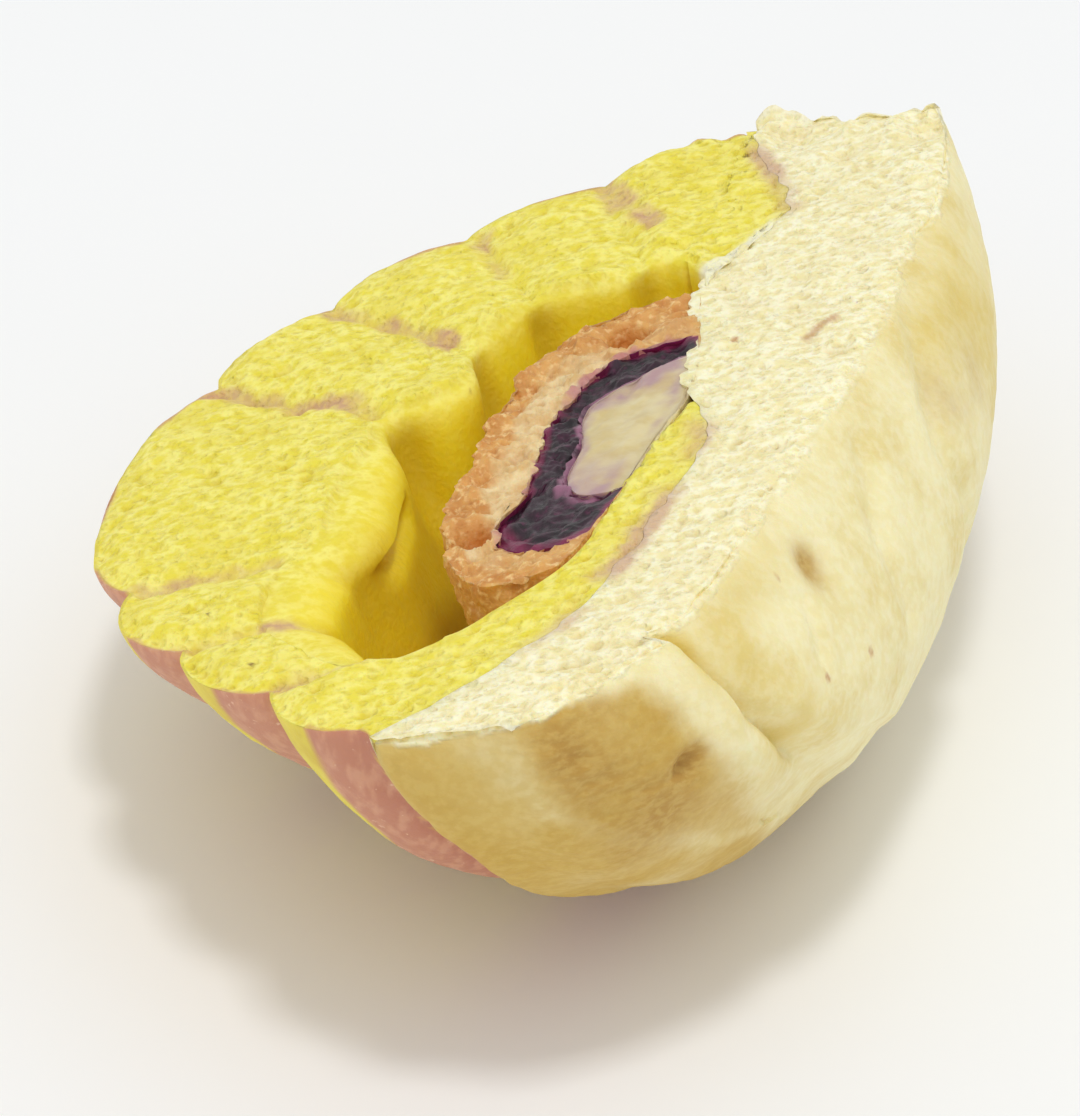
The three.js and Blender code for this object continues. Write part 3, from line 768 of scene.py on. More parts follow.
def marbled(points):
    """How much skin was rolled in beside the seam at a place: patchy along the strip and at
    the far end, none between them."""
    u = points[:, 0]
    patchy = np.clip(0.5 + 1.1 * soft_noise(points, 4.5, 82), 0, 1)
    near, far = ease(u, -42, -36) * (1 - ease(u, -8, -3)), ease(u, 30, 33) * (1 - ease(u, 44, 47))
    return np.maximum(patchy * near, blend(patchy, 1.0, 0.5) * far)


def torn_end(points):
    """Millimetres that the crumb is torn up or down at the far end of the cut: rough noise,
    faded in towards that end and faded out below the cut."""
    u, _, w = points.T
    return 1.1 * rough_noise(points * [0.6, 1, 0.2], 3.0, 91) * ease(u, 42, 49) * ease(w, -3, 0)


ROUNDING, ROUNDING_REACH, CORNER_SHARE = 0.35, 0.5, 0.414


def white_relief(points, normals, marks):
    """Crumb: fluff and dimples, faded at its borders. Skin: fine wrinkles everywhere, coarser
    fibres where it is toasted. Toasting is a band along the basin and a few ovals; gold are
    the left fold and the low rim. The edge between base and cut is rounded off: both faces
    sink and draw back from it by an amount that falls to 1/e within the reach, and the
    points on the edge itself go the remaining share of a corner inwards."""
    u, v, w = points.T
    crumb = ease(marks["crumb"], 0.45, 0.95)
    depth, pore_shade = open_crumb(points, 31)
    skin = np.clip(marks["skin"], 0, 1)
    underside = ease(-v, -1.0, 2.5) * skin
    band = bell(path_distance(u, w, TAN_BAND), 2.4) * blend(1, 0.35, ease(u, -43, -37))
    side = path_distance(u, w, STEP_LINE)
    toast = 0.4 * band + ovals(u, w, TOASTED)
    toast = toast * (0.9 + 0.3 * rough_noise(points, 3.0, 71, 4))
    # Gilt: golden crust, and in the step's crease painted glow and shade.
    gilt_and_crease_shade = ovals(u, w, GILT_AND_CREASE_SHADE)
    gilt_and_crease_shade = gilt_and_crease_shade * (0.85 + 0.4 * rough_noise(points, 4.5, 75))
    pale_corner = (1 - ease(-w, 0.6, 2.2)) * ease(u, -47, -43.5)
    ridge = 0.45 * bell(path_distance(u, w, BASIN_EDGE) + 0.3, 0.7)
    gold = ease(-side, 2.4, 5.0) * (1 - pale_corner) * (1 - ridge)
    low = bell(v - 0.5, 4.5) * ease(-w, 3, 12) * blend(1.0, 0.45, ease(u, -25, 10))
    low = low * (1 - 0.6 * oval(u, w, (-32, -16.5), (4, 2.5)))
    gold = np.maximum(gold, low) * (0.92 + 0.22 * rough_noise(points, 5.0, 77))
    fibres = rough_noise(points * [0.45, 1, 1.4], 1.5, 51, 4)
    wrinkle = 0.05 * fibres + 0.12 * np.clip(toast + 0.5 * band, 0, 1) * underside * fibres
    lumps = 0.16 * rough_noise(points, 9.0, 61)
    sunk = (-0.95 * depth - 0.05) * ease(marks["apart"], 0, 0.9) * ease(marks["edge"], -0.3, 0.9)
    near = np.exp(-np.maximum(marks["edge"], 0) / ROUNDING_REACH)
    rounded_off = ROUNDING * near * (1 + 0.3 * soft_noise(points, 1.5, 35))
    other_face = np.where(crumb[:, None] > 0.5, [0, -1, 0], [0, 0, 1])
    other_face = np.where(marks["edge"][:, None] < 0.01, CORNER_SHARE * normals, other_face)
    move = blend(wrinkle + lumps, sunk, crumb) - rounded_off
    frayed = 0.4 * rough_noise(points, 1.5, 81)
    crumb = np.maximum(crumb, 1 - ease(marks["edge"] + frayed, 0.3, 0.8))
    move = move * np.where(marks["skin"] + marks["crumb"] > 0, 1.0, 0.0)
    seam = np.abs(v - dish_top(u, 0 * u)) * crumb + FAR_OFF * (1 - crumb)
    pink = marbled(points) * bell(np.maximum(seam + frayed - 0.2, 0), 0.7)
    # The pore mark is painted shade: the deeper the pit, the darker the crumb.
    out = {"crumb": crumb, "pore_shade": pore_shade * crumb,
           "toast": np.clip(toast, 0, 1) * underside, "gilt_and_crease_shade": np.clip(gilt_and_crease_shade, 0, 1) * underside,
           "gold": np.clip(gold, 0, 1) * skin, "side": marks["side"],
           "mauve": np.clip(pink, 0, 1), "fleck": fleck_marks(points)}
    moved = points + normals * move[:, None] - other_face * (rounded_off * near)[:, None]
    moved[:, 2] += torn_end(points)
    return moved, out


def white_finish():
    """Crumb near white with painted shade in its pores and cell dips, skin cream, tan where
    toasted, golden on the rim's side, and painted glow and shade in the crease of the step.
    """
    f = Finish("pale_dough", 0.62, 0.25, (1.8, 1.2, 0.5))
    blotch = f.step(f.noise(6.0, 3), 0.35, 0.7)
    fine = f.step(f.noise(0.8, 3), 0.38, 0.66)
    grain = f.noise(0.5, 3, ((0, 0, 0.35), (0.4, 1.0, 1.0)))
    streak = f.step(grain, 0.38, 0.66)
    crust = f.mix(blotch, "F4E8B2", "EADA98")
    crust = f.mix(f.times(fine, 0.4), crust, "FAF3CE")
    side = f.step(f.math("ADD", f.mark("side"), f.times(blotch, 0.35)), 0.1, 0.8)
    crust = f.mix(f.times(side, 0.8), crust, "E0C26C")
    golden = f.mix(f.times(fine, 0.5), "C9A242", "D8B95E")
    crust = f.mix(f.times(f.mark("gold"), 0.95), crust, golden)
    # D9BA44: golden crust, and painted glow and shade in the step's crease.
    crust = f.mix(f.times(f.mark("gilt_and_crease_shade"), 0.9), crust, "D9BA44")
    crust = f.mix(f.step(f.mark("toast"), 0.0, 0.6), crust, f.mix(streak, "BC9240", "C9A556"))
    crust = f.mix(f.step(f.mark("toast"), 0.5, 1.1), crust, f.mix(streak, "A47526", "B88E3C"))
    # E6D38E darkens the dips in the middles of the crumb's cells and DDC888 its pores: painted
    # shade.
    crumb, foam, grains = crumb_colours(f, 1.0, ("FFF8D4", "F5E8AE"), "E6D38E", "F0E3B0",
                                        "DDC888", (0.5, 0.3))
    base = f.mix(f.mark("crumb"), crust, crumb)
    base = f.mix(f.times(f.mark("mauve"), 0.8), base, "D0A488")
    f.colour(f.mix(f.mark("fleck"), base, "C08A58"))
    crumb_bumps(f, foam, grains)
    f.bump(grain, 0.12, 0.5)
    return f.material


build("pale_dough", white_patches(), white_relief, "white_dough",
      white_finish())

# %% [markdown]
# ## The yellow dough
# The rope of yellow dough was rolled up with a pink skin, so the knife shows its turns as
# plump lobes with a pink line between each two, and the outside shows pink and yellow
# bands. The steam left a hollow in the middle, whose wall is smooth and glossy, and the
# crumb of each lobe rolls over into it. The grid's columns go once round the cut, from the
# outline of the bun to the mouth of the hollow, and its rows go on down the wall.

# %% The hollow
HOLLOW = [[10, 6.6], [17, 8.8], [22.5, 12.2], [23.8, 15], [20.6, 17], [19.4, 20.6],
          [17.6, 23.2], [13.6, 24.6], [9.2, 25], [5.2, 23.4], [1.4, 24.6], [-0.9, 27.6],
          [-6, 25.8], [-13, 23.6], [-19.6, 21.8], [-24, 22.6], [-29.4, 21.8], [-33.8, 18.8],
          [-37, 15.4], [-37.4, 12.4], [-35, 10], [-31.2, 7.4], [-26, 4.9], [-18, 4.3],
          [-8, 4.3], [1, 4.4]]
HOLLOW_CENTRE = np.array([-8.0, 14.0])
HOLLOW_DEPTH, HOLLOW_POWER = 17.0, 2.9
NOWHERE = 99.0
ROLL = np.array([[-180, 3.0], [-168, 1.0], [-150, 0.5], [-30, 0.5], [10, 0.9], [50, 1.6],
                 [80, 2.4], [100, 3.8], [125, 4.2], [140, 4.4], [150, 5.0], [165, 5.0], [180, 3.0]])
ROLL_DEPTH = 2.6


def rounded(points, steps=12):
    """A smooth closed curve through points: cubic pieces whose slope at each point comes
    from its two neighbours, spaced by the square root of the distances."""
    p = np.array(points, float)
    p0, p1, p2, p3 = (np.roll(p, k, axis=0) for k in (1, 0, -1, -2))
    d0, d1, d2 = (np.linalg.norm(b - a, axis=1)[:, None] ** 0.5
                  for a, b in ((p0, p1), (p1, p2), (p2, p3)))
    slope1 = ((p1 - p0) / d0 - (p2 - p0) / (d0 + d1) + (p2 - p1) / d1) * d1
    slope2 = ((p2 - p1) / d1 - (p3 - p1) / (d1 + d2) + (p3 - p2) / d2) * d1
    t = np.linspace(0, 1, steps, endpoint=False)[None, :, None]
    a, b = 2 * p1 - 2 * p2 + slope1 + slope2, -3 * p1 + 3 * p2 - 2 * slope1 - slope2
    curve = a[:, None] * t**3 + b[:, None] * t**2 + slope1[:, None] * t + p1[:, None]
    return curve.reshape(-1, 2)


def reach_of(outline, centre):
    """The outline's distance from a centre as a function of the angle in radians."""
    curve = rounded(outline) - centre
    angles, reaches = np.arctan2(curve[:, 1], curve[:, 0]), np.hypot(*curve.T)
    order = np.argsort(angles)
    return lambda angle: np.interp(angle, angles[order], reaches[order], period=2 * np.pi)


hollow_reach = reach_of(HOLLOW, HOLLOW_CENTRE)


def narrowing(w, depth, power):
    """Share of its full width that a rounded hollow keeps at a depth: the superellipse
    (1 - |w / depth|^power)^(1 / power)."""
    return (1 - np.clip(-w / depth, 0, 1) ** power) ** (1 / power)


def hollow_floor(u, w):
    """Height of the hollow's lower side at a place, found on its outline after widening the
    place by the narrowing at that depth; high up where the hollow doesn't reach."""
    share = np.maximum(narrowing(w, HOLLOW_DEPTH, HOLLOW_POWER), 0.02)
    angles = np.linspace(-np.pi, 0, 400)
    lower = hollow_reach(angles)
    along, down = lower * np.cos(angles), lower * np.sin(angles)
    wide = (u - HOLLOW_CENTRE[0]) / share
    height = np.interp(wide, along, down, left=NOWHERE, right=NOWHERE)
    return HOLLOW_CENTRE[1] + share * height


print("the hollow is", round(float(hollow_reach(0.0) + hollow_reach(np.pi)), 1), "mm long")

# %% [markdown]
# Where does each column of the cut face end? The pink lines answer it: each runs from a
# crease on the outline to the mouth of the hollow, so the pairs of ends are the knots, and
# the columns between two lines share out that lobe evenly.

# %% The grids of the yellow dough
SKIN_ROWS, SKIN_COLUMNS, FINER = 180, 108, 3
UNDERSIDE_ROWS = 8
CRUMB_ROWS, ROLL_ROWS, HOLLOW_ROWS = 60, 8, 32
YELLOW_GAP, FLOOR_THICKNESS, BURIED_DEPTH = 0.04, 0.7, 1.2
STRIP_LEFT, STRIP_RIGHT = -30, 23
UNDERCUT = [(88, 0), (97, 1.2), (120, 1.8), (134, 1.4), (144, 0.5), (150, 0), (448, 0)]
UNDERCUT_AT, UNDERCUT_WIDTH = -3.7, 1.0
LOBES = [("right", 18, -2), ("right", 33.6, 3.5), ("right", 46.4, 20), ("right", 64.4, 31.4),
         ("right", 81.6, 62), ("left", 54.4, 149.6), ("left", 40.3, 163.5),
         ("left", 24.7, 178.5), ("left", 11.4, 188)]
STRIP = [(-53, 188), (-44, 189), (-35, 192), (-26, 207), (-18, 224), (-8, 270), (1, 313),
         (12, 345), (20, 350), (24, 350.5), (32, 354), (54, 358)]


def climbing(count):
    """Azimuths from the right end round to the left, closer together towards the left."""
    return np.pi * (1 - (1 - np.linspace(0, 1, count + 1)) ** 1.25)


def hidden_underside(skin, seam):
    """Grid from the skin's lower edge to the seam in the cut. The seam has three places for
    each one of the edge, so two cells of three start as triangles."""
    edge = skin[0][(np.arange(len(seam)) + FINER // 2) // FINER]
    below = lens(edge, seam, UNDERSIDE_ROWS)
    exact = dish_top(below[..., 0], below[..., 2]) + YELLOW_GAP
    exact = exact + (edge[:, 1] - exact[0]) * np.linspace(1, 0, UNDERSIDE_ROWS + 1)[:, None] ** 2
    clear = hollow_floor(below[..., 0], below[..., 2]) - FLOOR_THICKNESS
    inside = narrowing(below[..., 2], HOLLOW_DEPTH, HOLLOW_POWER) > 0.3
    below[..., 1] = np.where(inside, np.minimum(exact, clear), exact)
    below[0], below[-1], below[:, 0], below[:, -1] = edge, seam, edge[0], edge[-1]
    return below


def hollow_rows(throat, outward, angle):
    """The hollow's wall: rows of a superellipse bowl from the throat to its deepest point,
    pushed back under the crown's lobe, which is what makes that lobe overhang."""
    start = np.arcsin((ROLL_DEPTH / HOLLOW_DEPTH) ** (HOLLOW_POWER / 2))
    fall = start + (np.pi / 2 - start) * (np.arange(1, HOLLOW_ROWS + 1) / HOLLOW_ROWS) ** 1.4
    share = (np.cos(fall) ** (2 / HOLLOW_POWER))[:, None, None]
    share[-1] = 0
    deep = -HOLLOW_DEPTH * np.sin(fall)[:, None] ** (2 / HOLLOW_POWER)
    under = np.interp(np.degrees(angle), *np.array(UNDERCUT, float).T, period=360)
    under = under * bell(deep - UNDERCUT_AT, UNDERCUT_WIDTH)
    wall_xy = HOLLOW_CENTRE + (throat - HOLLOW_CENTRE) * share + outward * under[..., None]
    wall_xy[-1] = HOLLOW_CENTRE
    return np.concatenate([wall_xy, np.broadcast_to(deep[..., None], wall_xy.shape[:2] + (1,))],
                          axis=-1)


def yellow_patches():
    """Skin, hidden underside, and the cut face with its hollow as one grid."""
    azimuth, fine = climbing(SKIN_COLUMNS), climbing(SKIN_COLUMNS * FINER)
    edge = free_edge(azimuth)
    t = np.linspace(0, 1, SKIN_ROWS + 1)[:, None]
    latitude = blend(edge, 90.0, t)
    tuck = -0.35 * (1 - ease(latitude - edge, 0.0, 2.5)) * np.sin(azimuth) ** 0.3
    skin = dome(latitude, np.broadcast_to(azimuth, latitude.shape), tuck)
    skin[-1] = skin[-1, 0]
    seam = seam_line(fine)
    highest = hollow_floor(seam[:, 0], 0 * seam[:, 0]) - FLOOR_THICKNESS
    gap = YELLOW_GAP * ease(np.minimum(seam[0, 0] - seam[:, 0], seam[:, 0] - seam[-1, 0]), 0, 2)
    within = (seam[:, 0] > STRIP_LEFT) & (seam[:, 0] < STRIP_RIGHT)
    within = within & (seam[:, 1] + gap > highest)
    seam[:, 1] = np.where(within, highest, seam[:, 1] + gap)
    seam[:, 2] = -BURIED_DEPTH * covered(seam[:, 0])
    seam[0], seam[-1] = skin[0, 0], skin[0, -1]
    below = hidden_underside(skin, seam)
    right, left = skin[:, 0], skin[::-1, -1]
    outline = np.concatenate([right[:-1], left[:-1], seam[::-1]])
    rows = np.linspace(0, 1, SKIN_ROWS + 1)
    place = np.concatenate([rows[:-1], 1 + rows[:-1], 2 + np.linspace(0, 1, len(seam))])
    knots, angles = [], []
    for side, lat, angle in LOBES:
        start = edge[0] if side == "right" else edge[-1]
        climbed = np.clip((lat - start) / (90 - start), 0, 1)
        knots.append(climbed if side == "right" else 2 - climbed)
        angles.append(angle)
    lobe = np.interp(place, knots, np.arange(len(knots)))
    strip_u = np.array([u for u, _ in STRIP])
    strip_angle = np.interp(outline[:, 0], strip_u, [a for _, a in STRIP])
    angle = np.where(place < 2, np.interp(place, knots, angles), strip_angle)
    angle = np.radians(angle)
    way = np.stack([np.cos(angle), np.sin(angle)], axis=-1)
    throat = HOLLOW_CENTRE + hollow_reach(angle)[:, None] * way
    outward = outline[:, :2] - throat
    outward /= np.linalg.norm(outward, axis=1, keepdims=True)
    roll = np.interp(np.degrees(angle), *ROLL.T, period=360)[:, None]
    roll = np.minimum(roll, 0.45 * np.linalg.norm(outline[:, :2] - throat, axis=1)[:, None])
    hidden = np.where(place > 2, covered(outline[:, 0]), 0)
    mouth = np.concatenate([throat + outward * roll, -BURIED_DEPTH * hidden[:, None]], axis=1)
    crumb = lens(outline, mouth, CRUMB_ROWS)
    quarter = np.linspace(0, np.pi / 2, ROLL_ROWS + 1)[1:, None, None]
    edge_xy = throat + outward * roll * (1 - np.sin(quarter))
    edge_w = mouth[:, 2:] - (ROLL_DEPTH + mouth[:, 2:]) * (1 - np.cos(quarter))
    rolled = np.concatenate([edge_xy, np.broadcast_to(edge_w, edge_xy.shape[:2] + (1,))], axis=-1)
    cut = np.concatenate([crumb, rolled, hollow_rows(throat, outward, angle)])
    cut[:, -1] = cut[:, 0]
    down, ones = np.arange(len(cut))[:, None], np.ones(cut.shape[:2])
    up, back = (np.clip((share * SKIN_ROWS).round(), 0, SKIN_ROWS).astype(int)
                for share in (place, 2 - place))
    outside = np.where(place < 1, latitude[up, 0], latitude[back, -1])
    turn = turns_climbed(latitude, azimuth)
    rim_turn = turns_climbed(outside, np.where(place < 1, 0.0, np.pi))
    apart = np.linalg.norm(cut - outline, axis=-1)
    marks = {"crumb": (1 - ease(down, CRUMB_ROWS - 3, CRUMB_ROWS + 1)) * ones,
             "wall": ease(down, CRUMB_ROWS - 1, CRUMB_ROWS + ROLL_ROWS) * ones,
             "lobe": lobe * ones, "cut": (down > 0) * ones, "apart": apart,
             "strip": (place > 2) * ones, "turn": rim_turn * ones}
    return [(skin, {"skin": 1.0, "turn": turn}), other_side(below, {"crumb": 1.0}), (cut, marks)]


tell("yellow dough", yellow_patches())

# %% [markdown]
# ### Relief, pink lines and finish of the yellow dough
# The pink lines are drawn by distance to a few traced paths in the cut, not by the grid, so
# they can fray and fade as marbling does. Each lobe puffs up between its two lines. On the
# outside the same idea runs in turns: every turn of the rope is pink from its lower crease
# to not quite its middle, and yellow above. Below the lowest whole turn it is all pink.

# %% Relief of the yellow dough
PINK_LINES = [([(7.1, 47.8), (5, 43), (2.8, 37.7), (3.2, 34.1), (0.5, 30.5)], 0.55, 0.95),
              ([(20.1, 41.9), (17.6, 37.8), (15.4, 33.5), (12, 28.7)], 0.6, 0.85),
              ([(32.7, 34.3), (27.6, 31.3), (23.8, 28.7)], 0.5, 0.75),
              ([(41.8, 27.8), (36, 22.6), (34.3, 20.7), (31, 18)], 0.7, 0.95),
              ([(-27.1, 40), (-25.5, 34.6), (-23.5, 28.8)], 0.5, 0.85),
              ([(-36.2, 30.7), (-35.3, 28.1), (-34.4, 26.4), (-32.9, 23.8)], 0.6, 0.9),
              ([(-43.1, 20.4), (-42.3, 18.8), (-41.3, 17.2), (-40.1, 15.2)], 0.6, 0.9)]
PUFF, GROOVE, LOBE_WIDTH = 0.75, 0.35, 9.0


def plane_distance(u, v, path):
    """Distance in the plane of the cut to a path of straight pieces."""
    return np.abs(path_distance(u, v, np.array(path, float)))


def yellow_relief(points, normals, marks):
    """Cut lobes puff up by a sine between their lines and are grooved along them; crumb has
    fluff and dimples; the wall is smooth with a crease where two lobes meet; the skin gets
    shallow wrinkles; and the strip leans over the filling in a ragged fringe."""
    u, v, w = points.T
    crumb, cut, skin = marks["crumb"], marks["cut"], np.clip(marks["skin"], 0, 1)
    strip = ease(marks["strip"], 0, 1)
    shore = ease(crumb, 0.0, 0.9) * ease(marks["apart"], 0, 0.7)
    over_seam = v - dish_top(u, 0 * u)
    torn = ease(u, -40, -30) * (1 - ease(over_seam, 4.5, 7)) * ease(over_seam, -2, 0)
    depth, pore_shade = open_crumb(points, 131, torn)
    lobe = marks["lobe"]
    between = ease(lobe, 0, 0.7) * (1 - ease(lobe, 7.2, 8))
    puff = PUFF * between * np.sin(np.pi * (lobe % 1.0)) ** 0.7
    puff = puff * ease(crumb, 0, 1) * ease(marks["apart"], 0, 2.5)
    groove, pink = np.zeros(len(points)), np.zeros(len(points))
    frayed = 0.55 * rough_noise(points, 1.7, 201)
    for path, width, strength in PINK_LINES:
        away = plane_distance(u, v, path)
        patchy = np.clip(strength + 0.75 * soft_noise(points, 3.5, 202), 0, 1)
        pink = np.maximum(pink, patchy * bell(np.maximum(away + frayed - 0.3, 0), width))
        groove = np.maximum(groove, bell(away, 0.8))
    pink = pink * (w > -1.5) * cut
    mauve = marbled(points) * bell(np.maximum(np.abs(over_seam) + frayed - 0.35, 0), 0.95)
    mauve = mauve * (1 - skin) * (w > -2)
    milky = bell(np.maximum(over_seam + 1.2 * frayed, 0), 0.7) * (w > -2) * (1 - skin)
    milky = milky * ease(u, 0, 6) * (1 - ease(u, 29, 32))
    nearest = np.abs(lobe - np.round(lobe)) * LOBE_WIDTH
    crease = 0.9 * bell(nearest, 1.3) * (1 - strip) * ease(w, -12, -3)
    wall = marks["wall"] * (0.3 * soft_noise(points, 6.0, 151) - crease)
    wrinkle = 0.07 * rough_noise(points, 1.8, 161) + 0.2 * soft_noise(points, 7.0, 162)
    move = -shore * depth + wall + skin * wrinkle - GROOVE * groove * shore
    raised = np.zeros_like(points)
    raised[:, 2] = puff
    fringe = 0.55 + 0.5 * soft_noise(points, 1.6, 211) + 0.3 * soft_noise(points, 0.7, 212)
    leaning = strip * ease(w, -2.4, -0.5) * ease(marks["apart"], 0.8, 2.6)
    leaning = leaning * ease(u, -24, -18) * (1 - ease(u, 6, 9))
    raised[:, 1] = np.maximum(fringe, 0.1) * leaning
    phase = np.where(marks["turn"] < -1, 0.1, marks["turn"] % 1.0)
    wavy = 0.05 * rough_noise(points, 5.0, 171)
    band = (1 - ease(phase + wavy, 0.40, 0.47)) * ease(phase + wavy * 0.4, 0.0, 0.03)
    thin = 1 - ease(marks["apart"] + 0.3 * frayed, 0.15, 0.6)
    edge = np.where(cut > 0, thin * (1 - strip) * ease(-w, -9, 9), 1.0) * np.maximum(cut, skin)
    # The pore, deep and crease marks are painted shade: in the pits, down into the hollow, and in
    # the creases where two lobes meet.
    out = {"crumb": crumb, "pore_shade": pore_shade * shore, "wall": marks["wall"],
           "pink": np.clip(pink, 0, 1), "mauve": np.clip(mauve, 0, 1), "band": band * edge,
           "milky": np.clip(milky, 0, 1), "skin": skin, "bloom": ease(v, 3, 17),
           "deep": ease(-w, 6, 17) * marks["wall"], "crease": np.clip(crease * marks["wall"], 0, 1),
           "fleck": fleck_marks(points)}
    raised[:, 2] += np.minimum(torn_end(points), 0.15) - 0.9 * ease(u, 50, 51.6) * ease(w, -3, 0)
    return points + normals * move[:, None] + raised, out


def yellow_finish():
    """Lemon crumb with painted shade in its pores, the smooth wall deeper yellow with painted shade
    down in the hollow and in its creases, pink between the turns.
    """
    f = Finish("yellow_dough", 0.6, 0.25, (1.6, 1.2, 0.3))
    # DEC728 darkens the dips in the middles of the crumb's cells and D8BF22 its pores: painted
    # shade.
    crumb, foam, grains = crumb_colours(f, 1.1, ("F8ED7C", "ECDC42"), "DEC728", "E7D43A",
                                        "D8BF22", (0.42, 0.22))
    wall = f.mix(f.step(f.noise(5.0, 2), 0.35, 0.7), "FCE31A", "F6DA14")
    wall = f.mix(f.times(f.step(f.noise(0.7, 3), 0.4, 0.66), 0.15), wall, "FFF06A")
    # Painted shade: the wall darker down into the hollow.
    wall = f.mix(f.mark("deep"), wall, "DDB82E")
    # Painted shade: darker in the creases where two lobes meet.
    wall = f.mix(f.times(f.mark("crease"), 0.5), wall, "C09A18")
    base = f.mix(f.mark("wall"), crumb, wall)
    skin = f.mix(f.step(f.noise(3.0, 3), 0.35, 0.7), "EBD84E", "DFC545")
    base = f.mix(f.mark("skin"), base, skin)
    base = f.mix(f.times(f.mark("milky"), 0.85), base, "FFF8D4")
    streaks = f.noise(1.1, 3, ((0, 0, 1.2), (1, 1, 0.4)))
    rose = f.mix(f.step(streaks, 0.42, 0.66), "B87056", "CF9474")
    rose = f.mix(f.step(f.noise(0.7, 2), 0.66, 0.74), rose, "E3BFA0")
    rose = f.mix(f.times(f.mark("bloom"), 0.45), rose, "DFA688")
    base = f.mix(f.mark("band"), base, rose)
    inner = f.mix(f.step(f.noise(0.8, 3), 0.38, 0.66), "C8987A", "DCB77A")
    base = f.mix(f.times(f.mark("pink"), 0.9), base, inner)
    base = f.mix(f.times(f.mark("mauve"), 0.8), base, "D0A488")
    f.colour(f.mix(f.mark("fleck"), base, "7A5424"))
    crumb_bumps(f, foam, grains)
    return f.material


build("yellow_dough_coil", yellow_patches(), yellow_relief, "yellow_dough",
      yellow_finish())

# %% [markdown]
# ## The filling
# Three nested cups share one middle: sponge outside, fruit inside it, cream in the fruit.
# Each is a grid of columns round that middle, and rows from the deepest point up the
# outside, across the cut and down the inside. They all stand on the floor of the hollow, so
# every reach is cut short where its ray meets that floor.

# %% The grids of the filling
FILLING_CENTRE = np.array([-6.0, 9.0])
SPONGE = [[17.6, 7], [16.9, 12.5], [14.6, 16.6], [8.4, 19.4], [0, 19.9], [-8, 18.6],
          [-15.6, 18], [-21.6, 16], [-27, 12.9], [-29.2, 10], [-28.4, 7], [-22, 2], [0, 1]]
COMPOTE = [[9.6, 6], [8.6, 10.6], [6.4, 13], [1.6, 14.2], [-7, 13.9], [-14.6, 12.1],
           [-20, 12.6], [-23.8, 10.2], [-23.6, 6.6], [-18, 2], [0, 1]]
CREAM = [[7.4, 4], [6.2, 7], [3.2, 9.6], [-1.6, 12], [-8.2, 10], [-12.6, 9.6],
         [-15.6, 7.2], [-13, 2], [0, 1]]
CLEARANCE = 0.12
RAY_LENGTH, RAY_STEPS = 32, 120
NO_FLOOR, FAR_DOWN = 60, -9


def floor_reach(angle, w):
    """How far a ray from the filling's middle gets before it meets what the filling stands
    on: the first of RAY_STEPS places along it that is lower than the floor there."""
    r = np.linspace(0, RAY_LENGTH, RAY_STEPS + 1)
    u = FILLING_CENTRE[0] + r * np.cos(angle)[..., None]
    v = FILLING_CENTRE[1] + r * np.sin(angle)[..., None]
    depth = np.broadcast_to(np.asarray(w)[..., None], u.shape)
    lower = hollow_floor(u, depth)
    ground = np.maximum(dish_top(u, depth), np.where(lower > NO_FLOOR, FAR_DOWN, lower))
    below = v < ground
    first = np.where(below.any(axis=-1), below.argmax(axis=-1), RAY_STEPS)
    above = np.maximum(first - 1, 0)
    gap0, gap1 = (np.take_along_axis(v - ground, k[..., None], axis=-1)[..., 0]
                  for k in (above, first))
    t = np.clip(gap0 / np.maximum(gap0 - gap1, 1e-6), 0, 1)
    return np.where(first >= RAY_STEPS, NOWHERE, blend(r[above], r[first], t))


def bowl_rows(body, columns, rows):
    """Rows of a rounded body below the cut, from the cut down to its deepest point: width
    cos^(2/power) and depth sin^(2/power) of the fall, drawn in by an inset, and each reach
    cut short a little above the floor of the hollow."""
    reach, depth, power, inset, lifted = body
    angle = np.linspace(-np.pi, np.pi, columns + 1)[None, :]
    fall = np.linspace(0, np.pi / 2, rows + 1)[:, None]
    share = np.cos(fall) ** (2 / power)
    share[-1] = 0
    w = -(depth - inset) * np.sin(fall) ** (2 / power)
    wide = (reach(angle) - inset) * share
    ways, level = np.broadcast_to(angle, wide.shape), np.broadcast_to(w, wide.shape)
    out = np.minimum(wide, np.maximum(floor_reach(ways, level) - lifted, 0.02))
    out[-1] = 0
    points = np.stack([FILLING_CENTRE[0] + out * np.cos(ways),
                       FILLING_CENTRE[1] + out * np.sin(ways), level], axis=-1)
    points[:, -1] = points[:, 0]
    return points


sponge_reach, compote_reach, cream_reach = (reach_of(outline, FILLING_CENTRE)
                                            for outline in (SPONGE, COMPOTE, CREAM))


def cup(outer, inner, columns, outer_rows, face_rows, inner_rows):
    """A cup as one grid: outside from the deepest point up, the face, then the inside down.
    Each body is (reach, depth, power, inset, lift off the floor)."""
    outside = bowl_rows(outer, columns, outer_rows)[::-1]
    inside = bowl_rows(inner, columns, inner_rows)
    face = lens(outside[-1], inside[0], face_rows)
    grid = np.concatenate([outside[:-1], face, inside[1:]])
    row = np.arange(len(grid))[:, None] * np.ones(columns + 1)
    start, end = outer_rows, outer_rows + face_rows
    across = np.clip((row - start) / face_rows, 0, 1)
    return grid, {"face": ((row >= start) & (row <= end)) * 1.0,
                  "inside": (row > end) * 1.0, "across": across}


